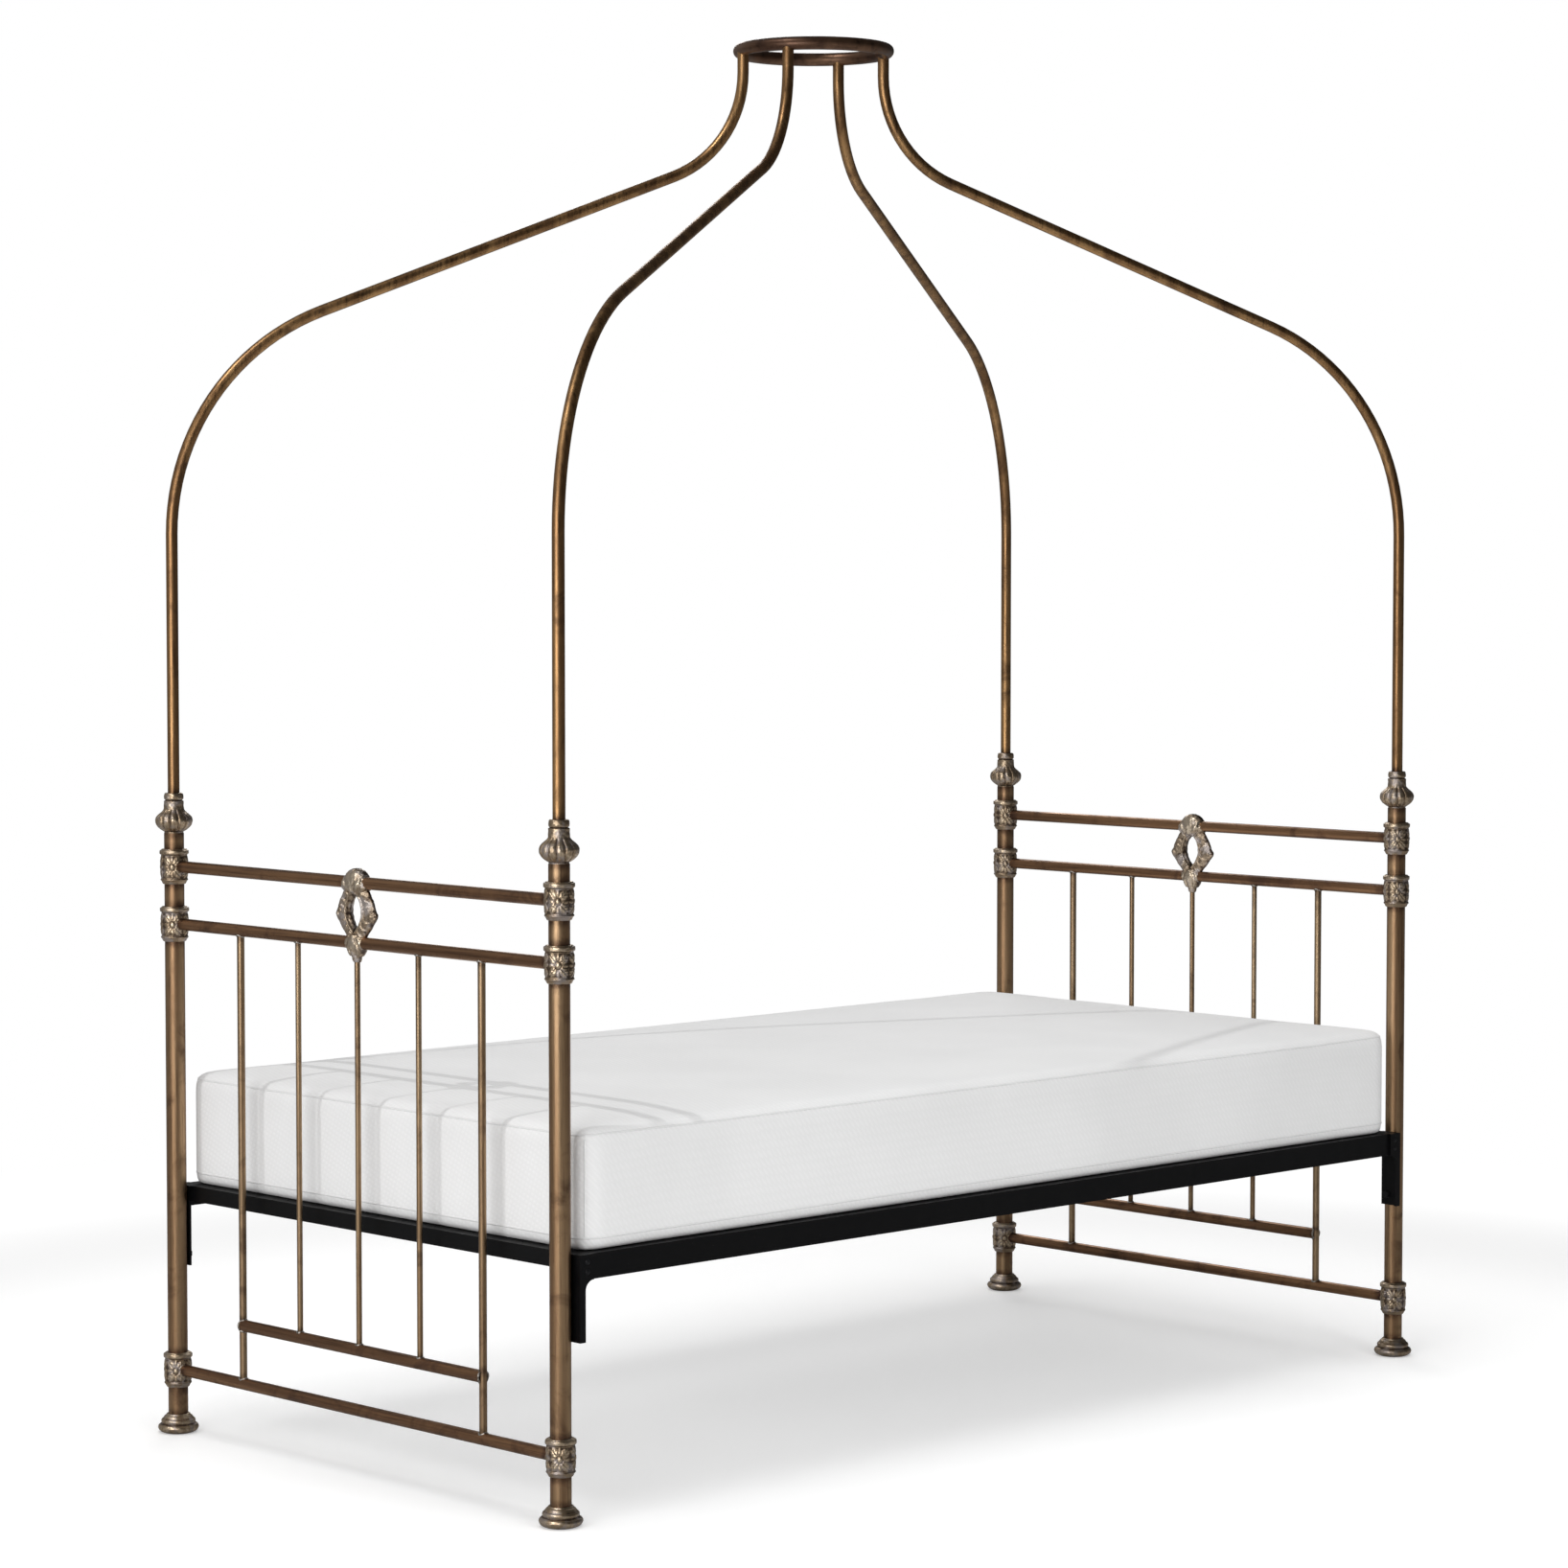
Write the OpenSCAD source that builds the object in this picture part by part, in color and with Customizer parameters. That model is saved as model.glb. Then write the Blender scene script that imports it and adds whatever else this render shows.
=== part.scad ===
// Four poster canopy bed, twin size: two tubular end panels with cast collars,
// an angle-iron deck with a wire mesh, a mattress, and a lift-off canopy of
// four bent arms that rise to a crown ring.
// X runs along the bed, Y across it, Z up. The floor is z = 0.

/* [Plan] */
// Distance between post centres along the bed
post_pitch_x = 1960; // [1600:10:2400]
// Distance between post centres across the bed
post_pitch_y = 950; // [790:10:1500]

/* [Heights] */
// Height of the bottom rail's centre line
bottom_rail_z = 103; // [90:1:140]
// Height of the short rail's centre line
short_rail_z = 197; // [170:1:240]
// Height of the deck's top face
deck_z = 402; // [340:1:480]
// Height of the middle rail's centre line
middle_rail_z = 830; // [740:1:1000]
// Distance between the middle and top rails
rail_gap = 93; // [85:1:150]
// Height of the post's top above the top rail
post_above_rail = 54; // [45:1:80]

/* [Tubes and bars] */
// Outer diameter of the posts
post_d = 32; // [27:1:38]
// Wall of the posts
post_wall = 2; // [1:0.5:3]
// Outer diameter of the rails
rail_d = 19; // [16:1:23]
// Wall of the rails and canopy arms
tube_wall = 1.5; // [1:0.5:2.5]
// Diameter of the two outer spindles of an end panel
outer_spindle_d = 12; // [10:1:14]
// Diameter of the three inner spindles of an end panel
inner_spindle_d = 9; // [7:1:11]
// Distance between neighbouring spindles
spindle_pitch = 149; // [120:1:179]

/* [Castings] */
// Largest diameter of a rail collar
collar_d = 47; // [44:1:60]
// Height of a rail collar
collar_h = 57; // [48:1:68]
// Largest diameter of a foot
foot_d = 66; // [60:1:80]
// Height of a foot
foot_h = 31; // [26:1:38]
// Largest diameter of a finial
finial_d = 61; // [52:1:74]
// Height of a finial above the post
finial_h = 65; // [55:1:78]
// Width of a medallion across its side points
medallion_w = 100; // [84:1:120]
// Thickness of a medallion's open ring
medallion_t = 15; // [12:1:18]
// Width of a medallion's pointed hole
medallion_hole_w = 36; // [26:1:46]
// Height of a medallion's pointed hole
medallion_hole_h = 48; // [36:1:56]
// Length of the leaf cap along the top rail
medallion_cap_len = 50; // [36:1:64]
// Length of the lower sleeve along the middle rail
medallion_sleeve_len = 38; // [28:1:50]
// Length of the tip below the middle rail's centre
medallion_tip_len = 31; // [24:1:40]

/* [Canopy] */
// Outer diameter of the arms
arm_d = 19; // [16:1:21]
// Depth of an arm's spigot in its finial
spigot_depth = 42; // [30:1:60]
// Radial clearance of the spigot in its socket
spigot_gap = 0.3; // [0.2:0.05:0.6]
// Straight upright length of an arm above the finial
arm_upright = 416; // [300:1:600]
// Radius of the lower, large bend
shoulder_r = 390; // [250:1:470]
// Angle of the sloping part above the horizontal
slope_deg = 21.3; // [15:0.1:30]
// Radius of the upper, reverse bend
neck_r = 190; // [120:1:230]
// Straight length between the reverse bend and the ring's centre
neck_straight = 38; // [25:1:60]
// Radius of the crown ring's centre line
ring_r = 124; // [100:1:160]
// Diameter of the crown ring's bar
ring_bar_d = 22; // [20:1:28]

/* [Deck and mattress] */
// Width of both legs of the side angle iron, and of the end angle's flat leg
angle_leg = 38; // [32:1:50]
// Height of the end angle's upright leg
end_angle_leg = 25; // [20:1:38]
// Thickness of the angle iron
angle_t = 3; // [2:0.5:5]
// Height of a corner bracket
bracket_h = 130; // [108:1:160]
// Thickness of a corner bracket
bracket_t = 4; // [3:0.5:5]
// How far the brackets stand outside the post centres, across the bed
bracket_out = 26; // [18:1:32]
// Height of the corner bolt above the bracket's bottom
bolt_rise = 18; // [14:1:30]
// Number of wires along the bed
long_wires = 7; // [5:2:11]
// Number of wires across the bed
cross_wires = 12; // [8:1:15]
// Diameter of the mesh wire
wire_d = 3.5; // [2.5:0.5:4]
// Outer diameter of the mesh's coil springs
coil_d = 14; // [10:1:16]
// Length of the mesh's coil springs
coil_len = 60; // [40:1:80]
// Thickness of the mattress
mattress_t = 190; // [150:1:250]
// Corner radius of the mattress in plan
mattress_corner_r = 45; // [30:1:60]
// Radius of the mattress's top edges
mattress_edge_r = 22; // [10:1:30]
// Radius of the mattress's bottom edges
mattress_base_r = 10; // [6:1:30]

/* [Hidden] */

$fn = 48;
TUBE_FN = 48;
EPS = 1; // overrun of cutting tools past the faces they cut
SEAM = 0.05; // how far the balls at the arm's seams stand proud

left = -1;
right = 1;
front = -1;
back = 1;

post_x = post_pitch_x / 2;
post_y = post_pitch_y / 2;
top_rail_z = middle_rail_z + rail_gap;
post_top_z = top_rail_z + post_above_rail;
post_floor = 5; // thickness of the foot under the post
finial_top_z = post_top_z + finial_h;
spigot_z = finial_top_z - spigot_depth;
plug_len = post_top_z - spigot_z > 16 ? post_top_z - spigot_z + 4 : 20;
outer_spindle_y = 2 * spindle_pitch;

// Canopy arm, in the vertical plane through its post and the bed's centre
arm_reach = sqrt(post_x * post_x + post_y * post_y) - ring_r;
bend_deg = 90 - slope_deg;
bends_reach = (shoulder_r + neck_r) * (1 - sin(slope_deg));
slope_len = (arm_reach - bends_reach) / cos(slope_deg);
shoulder_z = finial_top_z + arm_upright;
neck_z = shoulder_z + (shoulder_r + neck_r) * cos(slope_deg) + slope_len * sin(slope_deg);
ring_z = neck_z + neck_straight;

// Deck: outer faces of the corner brackets, then of the angle irons inside them
bracket_x = post_x - post_d / 2;
bracket_y = post_y + bracket_out;
deck_x = bracket_x - bracket_t;
deck_y = bracket_y - bracket_t;
bracket_side_leg = 11;
bracket_end_leg = 38;
bracket_fillet_r = 16;
rivet_x = bracket_x - 15;
rivet_drops = [11, 26]; // below the deck's top face
rivet_d = 5;
rivet_head_d = 9;
rivet_head_h = 2.5;
bolt_z = deck_z - bracket_h + bolt_rise;
bolt_d = 8;
bolt_head_d = 14;
bolt_head_h = 5.5;

// Mesh: hooks stand in holes along the middle of the angles' flat legs
wire_drop = 9; // from the deck's top face to the long wires' centre line
long_wire_z = deck_z - wire_drop;
cross_wire_z = long_wire_z - wire_d;
hook_in = angle_leg / 2;
coil_in = angle_leg + 5; // start of a coil, from the deck's outer face
long_wire_step = 2 * (deck_y - angle_leg) / (long_wires + 1);
cross_wire_step = 2 * (deck_x - angle_leg - coil_len) / (cross_wires + 1);

mattress_gap = 0.3; // under the mattress
mattress_x = bracket_x - 11.5;
mattress_y = bracket_y - 6;

function long_wire_y(i) = (i - (long_wires - 1) / 2) * long_wire_step;
function cross_wire_x(i) = (i - (cross_wires - 1) / 2) * cross_wire_step;

module tube(d, wall, len) {
    difference() {
        cylinder(d = d, h = len, $fn = TUBE_FN);
        translate([0, 0, -EPS]) cylinder(d = d - 2 * wall, h = len + 2 * EPS, $fn = TUBE_FN);
    }
}

// A cylinder along Y, centred on the bed's middle plane
module bar_y(x, z, d, len) {
    translate([x, -len / 2, z]) rotate([-90, 0, 0]) cylinder(d = d, h = len, $fn = TUBE_FN);
}

// ---- End panels ----

module post(side_x, side_y) {
    color("#a07f4f") difference() {
        translate([side_x * post_x, side_y * post_y, post_floor])
            tube(post_d, post_wall, post_top_z - post_floor);
        bolt_shank(side_x, side_y);
    }
}

module foot(side_x, side_y) {
    r = foot_d / 2;
    post_r = post_d / 2;
    color("#8c7350") translate([side_x * post_x, side_y * post_y, 0]) difference() {
        rotate_extrude() polygon([
            [0, 0], [r * 0.72, 0], [r * 0.92, foot_h * 0.12], [r, foot_h * 0.28],
            [r, foot_h * 0.36], [r * 0.92, foot_h * 0.47], [r * 0.83, foot_h * 0.5],
            [r * 0.83, foot_h * 0.7], [r * 0.76, foot_h * 0.81],
            [post_r + 3, foot_h * 0.94], [post_r + 2, foot_h], [0, foot_h]
        ]);
        translate([0, 0, post_floor]) cylinder(d = post_d, h = foot_h);
    }
}

module collar(side_x, side_y, z) {
    r = collar_d / 2;
    half = collar_h / 2;
    bulge_r = half * half / 3; // its arc stands about 1.5 mm proud at mid height
    color("#8f7a58") difference() {
        translate([side_x * post_x, side_y * post_y, z]) difference() {
            rotate_extrude() union() {
                polygon([
                    [0, -half], [r - 5, -half], [r - 1.5, -half + 5],
                    [r - 1.5, half - 3.5], [r - 5, half], [0, half]
                ]);
                intersection() {
                    translate([r - bulge_r, 0]) circle(r = bulge_r, $fn = 180);
                    translate([0, -half * 0.72]) square([r + 1, half * 1.38]);
                }
            }
            translate([0, 0, -half - EPS]) cylinder(d = post_d, h = collar_h + 2 * EPS);
        }
        // the rail's socket opens towards the bed's middle plane only
        translate([side_x * post_x, 0, z]) rotate([-90 * side_y, 0, 0])
            cylinder(d = rail_d, h = post_y, $fn = TUBE_FN);
    }
}

module finial(side_x, side_y) {
    r = finial_d / 2;
    neck = arm_d / 2 + 6.2;
    color("#8f7a58") translate([side_x * post_x, side_y * post_y, post_top_z]) difference() {
        union() {
            rotate_extrude() polygon([
                [0, 0], [post_d / 2 - 1, 0], [post_d / 2, finial_h * 0.02],
                [r * 0.75, finial_h * 0.12], [r * 0.95, finial_h * 0.21],
                [r, finial_h * 0.28], [r * 0.96, finial_h * 0.36],
                [r * 0.8, finial_h * 0.47], [neck + 1.5, finial_h * 0.58],
                [neck, finial_h * 0.66], [neck, finial_h * 0.77],
                [neck - 1.8, finial_h * 0.8], [neck - 0.2, finial_h * 0.84],
                [neck - 0.2, finial_h * 0.95], [neck - 1.8, finial_h], [0, finial_h]
            ]);
            translate([0, 0, -plug_len])
                cylinder(d = post_d - 2 * post_wall, h = plug_len + EPS, $fn = TUBE_FN);
        }
        translate([0, 0, finial_h - spigot_depth])
            cylinder(d = arm_d + 2 * spigot_gap, h = spigot_depth + EPS, $fn = TUBE_FN);
    }
}

// A rail from post to post, coped round both
module full_rail(side_x, z) {
    color("#7a5a3a") difference() {
        translate([side_x * post_x, -post_y, z]) rotate([-90, 0, 0])
            tube(rail_d, tube_wall, post_pitch_y);
        for (side_y = [front, back])
            translate([side_x * post_x, side_y * post_y, z - rail_d])
                cylinder(d = post_d, h = 2 * rail_d);
    }
}

// The short rail ends on the outer spindles, coped round them
module short_rail(side_x) {
    color("#7a5a3a") difference() {
        translate([side_x * post_x, -outer_spindle_y, short_rail_z]) rotate([-90, 0, 0])
            tube(rail_d, tube_wall, 2 * outer_spindle_y);
        for (side_y = [front, back])
            translate([side_x * post_x, side_y * outer_spindle_y, short_rail_z - rail_d])
                cylinder(d = outer_spindle_d, h = 2 * rail_d, $fn = 36);
    }
}

// Spindles from the middle rail down to a lower rail, coped on both
module spindles(side_x, ys, d, low_z) {
    color("#94713f") difference() {
        for (y = ys)
            translate([side_x * post_x, y, low_z])
                cylinder(d = d, h = middle_rail_z - low_z, $fn = 36);
        bar_y(side_x * post_x, middle_rail_z, rail_d, post_pitch_y);
        bar_y(side_x * post_x, low_z, rail_d, post_pitch_y);
    }
}

module outer_spindles(side_x) {
    spindles(side_x, [-outer_spindle_y, outer_spindle_y], outer_spindle_d, bottom_rail_z);
}

module inner_spindles(side_x) {
    spindles(side_x, [-spindle_pitch, 0, spindle_pitch], inner_spindle_d, short_rail_z);
}

// A pointed oval with its long axis across the view: two equal arcs
module lens(half_len, half_w) {
    r = (half_len * half_len + half_w * half_w) / (2 * half_w);
    intersection() {
        translate([0, r - half_w]) circle(r = r, $fn = 180);
        translate([0, half_w - r]) circle(r = r, $fn = 180);
    }
}

// A sleeve that wraps a rail, thickest at mid length
module rail_sleeve(z, d, len) {
    translate([0, 0, z]) rotate([90, 0, 0]) rotate_extrude() polygon([
        [0, -len / 2], [d / 2 - 5, -len / 2], [d / 2, -len / 5],
        [d / 2, len / 5], [d / 2 - 5, len / 2], [0, len / 2]
    ]);
}

// Open cast ring between the top and middle rails, with a leaf cap over the
// top rail, a point at each side and a tapered tip under the middle rail
module medallion(side_x) {
    cap_d = rail_d + 22;
    sleeve_d = rail_d + 16;
    tip_len = medallion_tip_len;
    mid_z = (top_rail_z + middle_rail_z) / 2;
    color("#8f7a58") difference() {
        translate([side_x * post_x, 0, 0]) union() {
            translate([0, 0, mid_z]) rotate([90, 0, 90])
                translate([0, 0, -medallion_t / 2]) linear_extrude(medallion_t) difference() {
                    union() {
                        lens(medallion_w / 2, rail_gap * 0.34);
                        rotate(90) lens(rail_gap * 0.62, medallion_w * 0.34);
                    }
                    rotate(90) lens(medallion_hole_h / 2, medallion_hole_w / 2);
                }
            rail_sleeve(top_rail_z, cap_d, medallion_cap_len);
            rail_sleeve(middle_rail_z, sleeve_d, medallion_sleeve_len);
            translate([0, 0, middle_rail_z - tip_len]) rotate_extrude() polygon([
                [0, 0], [inner_spindle_d / 2 + 2.5, 0], [inner_spindle_d / 2 + 5, 4],
                [14, tip_len * 0.6], [15, tip_len], [0, tip_len]
            ]);
        }
        bar_y(side_x * post_x, top_rail_z, rail_d, post_pitch_y);
        bar_y(side_x * post_x, middle_rail_z, rail_d, post_pitch_y);
        translate([side_x * post_x, 0, short_rail_z])
            cylinder(d = inner_spindle_d, h = middle_rail_z - short_rail_z, $fn = 36);
    }
}

// ---- Deck ----

// Hook pin of a mesh wire, through the flat leg of an angle at its own height
module hook_pin(x, y, wire_z) {
    translate([x, y, wire_z]) cylinder(d = wire_d, h = deck_z - wire_z, $fn = 24);
}

module side_angle(side_y) {
    flange_x = deck_x - angle_t; // the end angle's upright leg passes beyond it
    color("#17171a") difference() {
        union() {
            translate([-deck_x, side_y * (deck_y - angle_t / 2) - angle_t / 2, deck_z - angle_leg])
                cube([2 * deck_x, angle_t, angle_leg]);
            translate([-flange_x, side_y * (deck_y - angle_leg / 2) - angle_leg / 2,
                       deck_z - angle_t])
                cube([2 * flange_x, angle_leg, angle_t]);
        }
        for (i = [0 : cross_wires - 1])
            hook_pin(cross_wire_x(i), side_y * (deck_y - hook_in), cross_wire_z);
        rivet_shanks();
    }
}

module end_angle(side_x) {
    upright_y = deck_y - angle_t;
    flange_y = deck_y - angle_leg;
    color("#17171a") difference() {
        union() {
            translate([side_x * (deck_x - angle_t / 2) - angle_t / 2, -upright_y,
                       deck_z - end_angle_leg])
                cube([angle_t, 2 * upright_y, end_angle_leg]);
            translate([side_x * (deck_x - angle_leg / 2) - angle_leg / 2, -flange_y,
                       deck_z - angle_t])
                cube([angle_leg, 2 * flange_y, angle_t]);
        }
        for (i = [0 : long_wires - 1])
            hook_pin(side_x * (deck_x - hook_in), long_wire_y(i), long_wire_z);
    }
}

// Upright angle that flares into the side angle through a round inside corner
module bracket_side_plate() {
    wide = bracket_side_leg + bracket_fillet_r;
    flare_z = bracket_h - angle_leg - bracket_fillet_r;
    difference() {
        union() {
            square([bracket_side_leg, bracket_h]);
            translate([0, flare_z]) square([wide, bracket_h - flare_z]);
        }
        translate([wide, flare_z]) circle(r = bracket_fillet_r);
    }
}

module bracket(side_x, side_y) {
    color("#17171a") difference() {
        translate([side_x * bracket_x, side_y * bracket_y, deck_z - bracket_h])
            mirror([side_x > 0 ? 1 : 0, 0, 0]) mirror([0, side_y > 0 ? 1 : 0, 0]) union() {
                translate([0, bracket_t, 0]) rotate([90, 0, 0])
                    linear_extrude(bracket_t) bracket_side_plate();
                cube([bracket_t, bracket_end_leg, bracket_h]);
            }
        rivet_shanks();
        bolt_shank(side_x, side_y);
    }
}

module rivet_shanks() {
    for (side_x = [left, right], side_y = [front, back], drop = rivet_drops)
        translate([side_x * rivet_x, side_y * bracket_y, deck_z - drop])
            rotate([90 * side_y, 0, 0]) cylinder(d = rivet_d, h = bracket_t + angle_t, $fn = 24);
}

// Domed head outside the bracket, flat clinched head inside the angle
module bracket_rivets() {
    dome_r = (rivet_head_h * rivet_head_h + rivet_head_d * rivet_head_d / 4) / (2 * rivet_head_h);
    color("#2a2a2d") {
        rivet_shanks();
        for (side_x = [left, right], side_y = [front, back], drop = rivet_drops)
            translate([side_x * rivet_x, side_y * bracket_y, deck_z - drop])
                rotate([-90 * side_y, 0, 0]) {
                    rotate_extrude($fn = 32) intersection() {
                        translate([0, rivet_head_h - dome_r]) circle(r = dome_r, $fn = 64);
                        square([rivet_head_d, rivet_head_h]);
                    }
                    translate([0, 0, -bracket_t - angle_t - 1.5])
                        cylinder(d = rivet_head_d - 1, h = 1.5, $fn = 32);
                }
    }
}

// Screwed through the bracket into the post's wall
module bolt_shank(side_x, side_y) {
    translate([side_x * deck_x, side_y * post_y, bolt_z]) rotate([0, 90 * side_x, 0])
        cylinder(d = bolt_d, h = bracket_t + post_wall + 4, $fn = 32);
}

module corner_bolts() {
    color("#2a2a2d") for (side_x = [left, right], side_y = [front, back]) {
        bolt_shank(side_x, side_y);
        translate([side_x * deck_x, side_y * post_y, bolt_z]) rotate([0, -90 * side_x, 0])
            cylinder(d = bolt_head_d, h = bolt_head_h, $fn = 6);
    }
}

// A mesh coil's outer shape lying along +X from the origin, with its hook
module coil() {
    translate([coil_in - hook_in, 0, 0]) rotate([0, 90, 0])
        cylinder(d = coil_d, h = coil_len, $fn = 32);
    rotate([0, 90, 0]) cylinder(d = wire_d, h = coil_in - hook_in, $fn = 24);
}

module mesh_end_coils() {
    color("#8d9095") for (side_x = [left, right], i = [0 : long_wires - 1]) {
        translate([side_x * (deck_x - hook_in), long_wire_y(i), long_wire_z])
            rotate(side_x > 0 ? 180 : 0) coil();
        hook_pin(side_x * (deck_x - hook_in), long_wire_y(i), long_wire_z);
    }
}

module mesh_side_coils() {
    color("#8d9095") for (side_y = [front, back], i = [0 : cross_wires - 1]) {
        translate([cross_wire_x(i), side_y * (deck_y - hook_in), cross_wire_z])
            rotate(-90 * side_y) coil();
        hook_pin(cross_wire_x(i), side_y * (deck_y - hook_in), cross_wire_z);
    }
}

module mesh_long_wires() {
    half = deck_x - coil_in - coil_len;
    color("#8d9095") for (i = [0 : long_wires - 1])
        translate([-half, long_wire_y(i), long_wire_z]) rotate([0, 90, 0])
            cylinder(d = wire_d, h = 2 * half, $fn = 24);
}

module mesh_cross_wires() {
    half = deck_y - coil_in - coil_len;
    color("#8d9095") for (i = [0 : cross_wires - 1])
        translate([cross_wire_x(i), -half, cross_wire_z]) rotate([-90, 0, 0])
            cylinder(d = wire_d, h = 2 * half, $fn = 24);
}

// ---- Mattress ----

// Corner post of the mattress: a disc with rounded rims
module mattress_corner() {
    r = mattress_corner_r;
    top_r = min(mattress_edge_r, r / 2);
    base_r = min(mattress_base_r, r / 2);
    rotate_extrude($fn = 40) hull() {
        square([r / 2, mattress_t]);
        translate([r - top_r, mattress_t - top_r]) circle(r = top_r, $fn = 32);
        translate([r - base_r, base_r]) circle(r = base_r, $fn = 32);
    }
}

module mattress() {
    x = mattress_x - mattress_corner_r;
    y = mattress_y - mattress_corner_r;
    color("#e8e8e8") hull() for (px = [-x, x], py = [-y, y])
        translate([px, py, deck_z + mattress_gap]) mattress_corner();
}

// ---- Canopy ----

// The arm's route as a round bar, in the XZ plane: its post stands at x = 0 and
// the ring is towards +X. A ball at each end of a bend, a hair wider than the
// bar, keeps the straights and the bends one solid.
module arm_bend(d, r, from_deg) {
    rotate([90, 0, 0]) rotate(from_deg) rotate_extrude(angle = bend_deg, $fn = 128)
        translate([r, 0]) circle(d = d, $fn = TUBE_FN);
}

module arm_bar(d, spare) {
    slope_x = shoulder_r * (1 - sin(slope_deg));
    slope_z = shoulder_z + shoulder_r * cos(slope_deg);
    neck_x = slope_x + slope_len * cos(slope_deg);
    neck_start_z = slope_z + slope_len * sin(slope_deg);
    translate([0, 0, spigot_z - spare])
        cylinder(d = d, h = shoulder_z - spigot_z + spare, $fn = TUBE_FN);
    translate([shoulder_r, 0, shoulder_z]) arm_bend(d, shoulder_r, 90 + slope_deg);
    translate([slope_x, 0, slope_z]) rotate([0, bend_deg, 0])
        cylinder(d = d, h = slope_len, $fn = TUBE_FN);
    translate([arm_reach - neck_r, 0, neck_z]) arm_bend(d, neck_r, -bend_deg);
    translate([arm_reach, 0, neck_z])
        cylinder(d = d, h = neck_straight + spare, $fn = TUBE_FN);
    for (seam = [[0, shoulder_z], [slope_x, slope_z], [neck_x, neck_start_z], [arm_reach, neck_z]])
        translate([seam[0], 0, seam[1]]) sphere(d = d + 2 * SEAM, $fn = TUBE_FN);
}

module arm(side_x, side_y) {
    plan_deg = atan2(-side_y * post_y, -side_x * post_x);
    color("#6d4e2c") difference() {
        translate([side_x * post_x, side_y * post_y, 0]) rotate(plan_deg) difference() {
            arm_bar(arm_d, 0);
            arm_bar(arm_d - 2 * tube_wall, EPS);
        }
        ring_bar();
    }
}

module ring_bar() {
    translate([0, 0, ring_z]) rotate_extrude($fn = 128)
        translate([ring_r, 0]) circle(d = ring_bar_d, $fn = TUBE_FN);
}

module crown_ring() {
    color("#4c3222") ring_bar();
}

// ---- Nodes ----

module post_left_front() { post(left, front); }
module post_left_back() { post(left, back); }
module post_right_front() { post(right, front); }
module post_right_back() { post(right, back); }

module foot_left_front() { foot(left, front); }
module foot_left_back() { foot(left, back); }
module foot_right_front() { foot(right, front); }
module foot_right_back() { foot(right, back); }

module finial_left_front() { finial(left, front); }
module finial_left_back() { finial(left, back); }
module finial_right_front() { finial(right, front); }
module finial_right_back() { finial(right, back); }

module top_collar_left_front() { collar(left, front, top_rail_z); }
module top_collar_left_back() { collar(left, back, top_rail_z); }
module top_collar_right_front() { collar(right, front, top_rail_z); }
module top_collar_right_back() { collar(right, back, top_rail_z); }

module middle_collar_left_front() { collar(left, front, middle_rail_z); }
module middle_collar_left_back() { collar(left, back, middle_rail_z); }
module middle_collar_right_front() { collar(right, front, middle_rail_z); }
module middle_collar_right_back() { collar(right, back, middle_rail_z); }

module bottom_collar_left_front() { collar(left, front, bottom_rail_z); }
module bottom_collar_left_back() { collar(left, back, bottom_rail_z); }
module bottom_collar_right_front() { collar(right, front, bottom_rail_z); }
module bottom_collar_right_back() { collar(right, back, bottom_rail_z); }

module arm_left_front() { arm(left, front); }
module arm_left_back() { arm(left, back); }
module arm_right_front() { arm(right, front); }
module arm_right_back() { arm(right, back); }

post_left_front();
post_left_back();
post_right_front();
post_right_back();
foot_left_front();
foot_left_back();
foot_right_front();
foot_right_back();
finial_left_front();
finial_left_back();
finial_right_front();
finial_right_back();
top_collar_left_front();
top_collar_left_back();
top_collar_right_front();
top_collar_right_back();
middle_collar_left_front();
middle_collar_left_back();
middle_collar_right_front();
middle_collar_right_back();
bottom_collar_left_front();
bottom_collar_left_back();
bottom_collar_right_front();
bottom_collar_right_back();
full_rail(left, top_rail_z);  // top_rail_left
full_rail(right, top_rail_z);  // top_rail_right
full_rail(left, middle_rail_z);  // middle_rail_left
full_rail(right, middle_rail_z);  // middle_rail_right
short_rail(left);  // short_rail_left
short_rail(right);  // short_rail_right
full_rail(left, bottom_rail_z);  // bottom_rail_left
full_rail(right, bottom_rail_z);  // bottom_rail_right
medallion(left);  // medallion_left
medallion(right);  // medallion_right
outer_spindles(left);  // outer_spindles_left
outer_spindles(right);  // outer_spindles_right
inner_spindles(left);  // inner_spindles_left
inner_spindles(right);  // inner_spindles_right
side_angle(front);  // side_angle_front
side_angle(back);  // side_angle_back
end_angle(left);  // end_angle_left
end_angle(right);  // end_angle_right
bracket(left, front);  // bracket_left_front
bracket(left, back);  // bracket_left_back
bracket(right, front);  // bracket_right_front
bracket(right, back);  // bracket_right_back
bracket_rivets();
corner_bolts();
mesh_long_wires();
mesh_cross_wires();
mesh_end_coils();
mesh_side_coils();
mattress();
arm_left_front();
arm_left_back();
arm_right_front();
arm_right_back();
crown_ring();
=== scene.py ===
"""Looks of the four poster canopy bed: castings, beads, springs, mattress, finishes, light and camera."""

import math

import bmesh
import bpy
import numpy as np
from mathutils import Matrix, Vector
from mathutils.bvhtree import BVHTree


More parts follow.
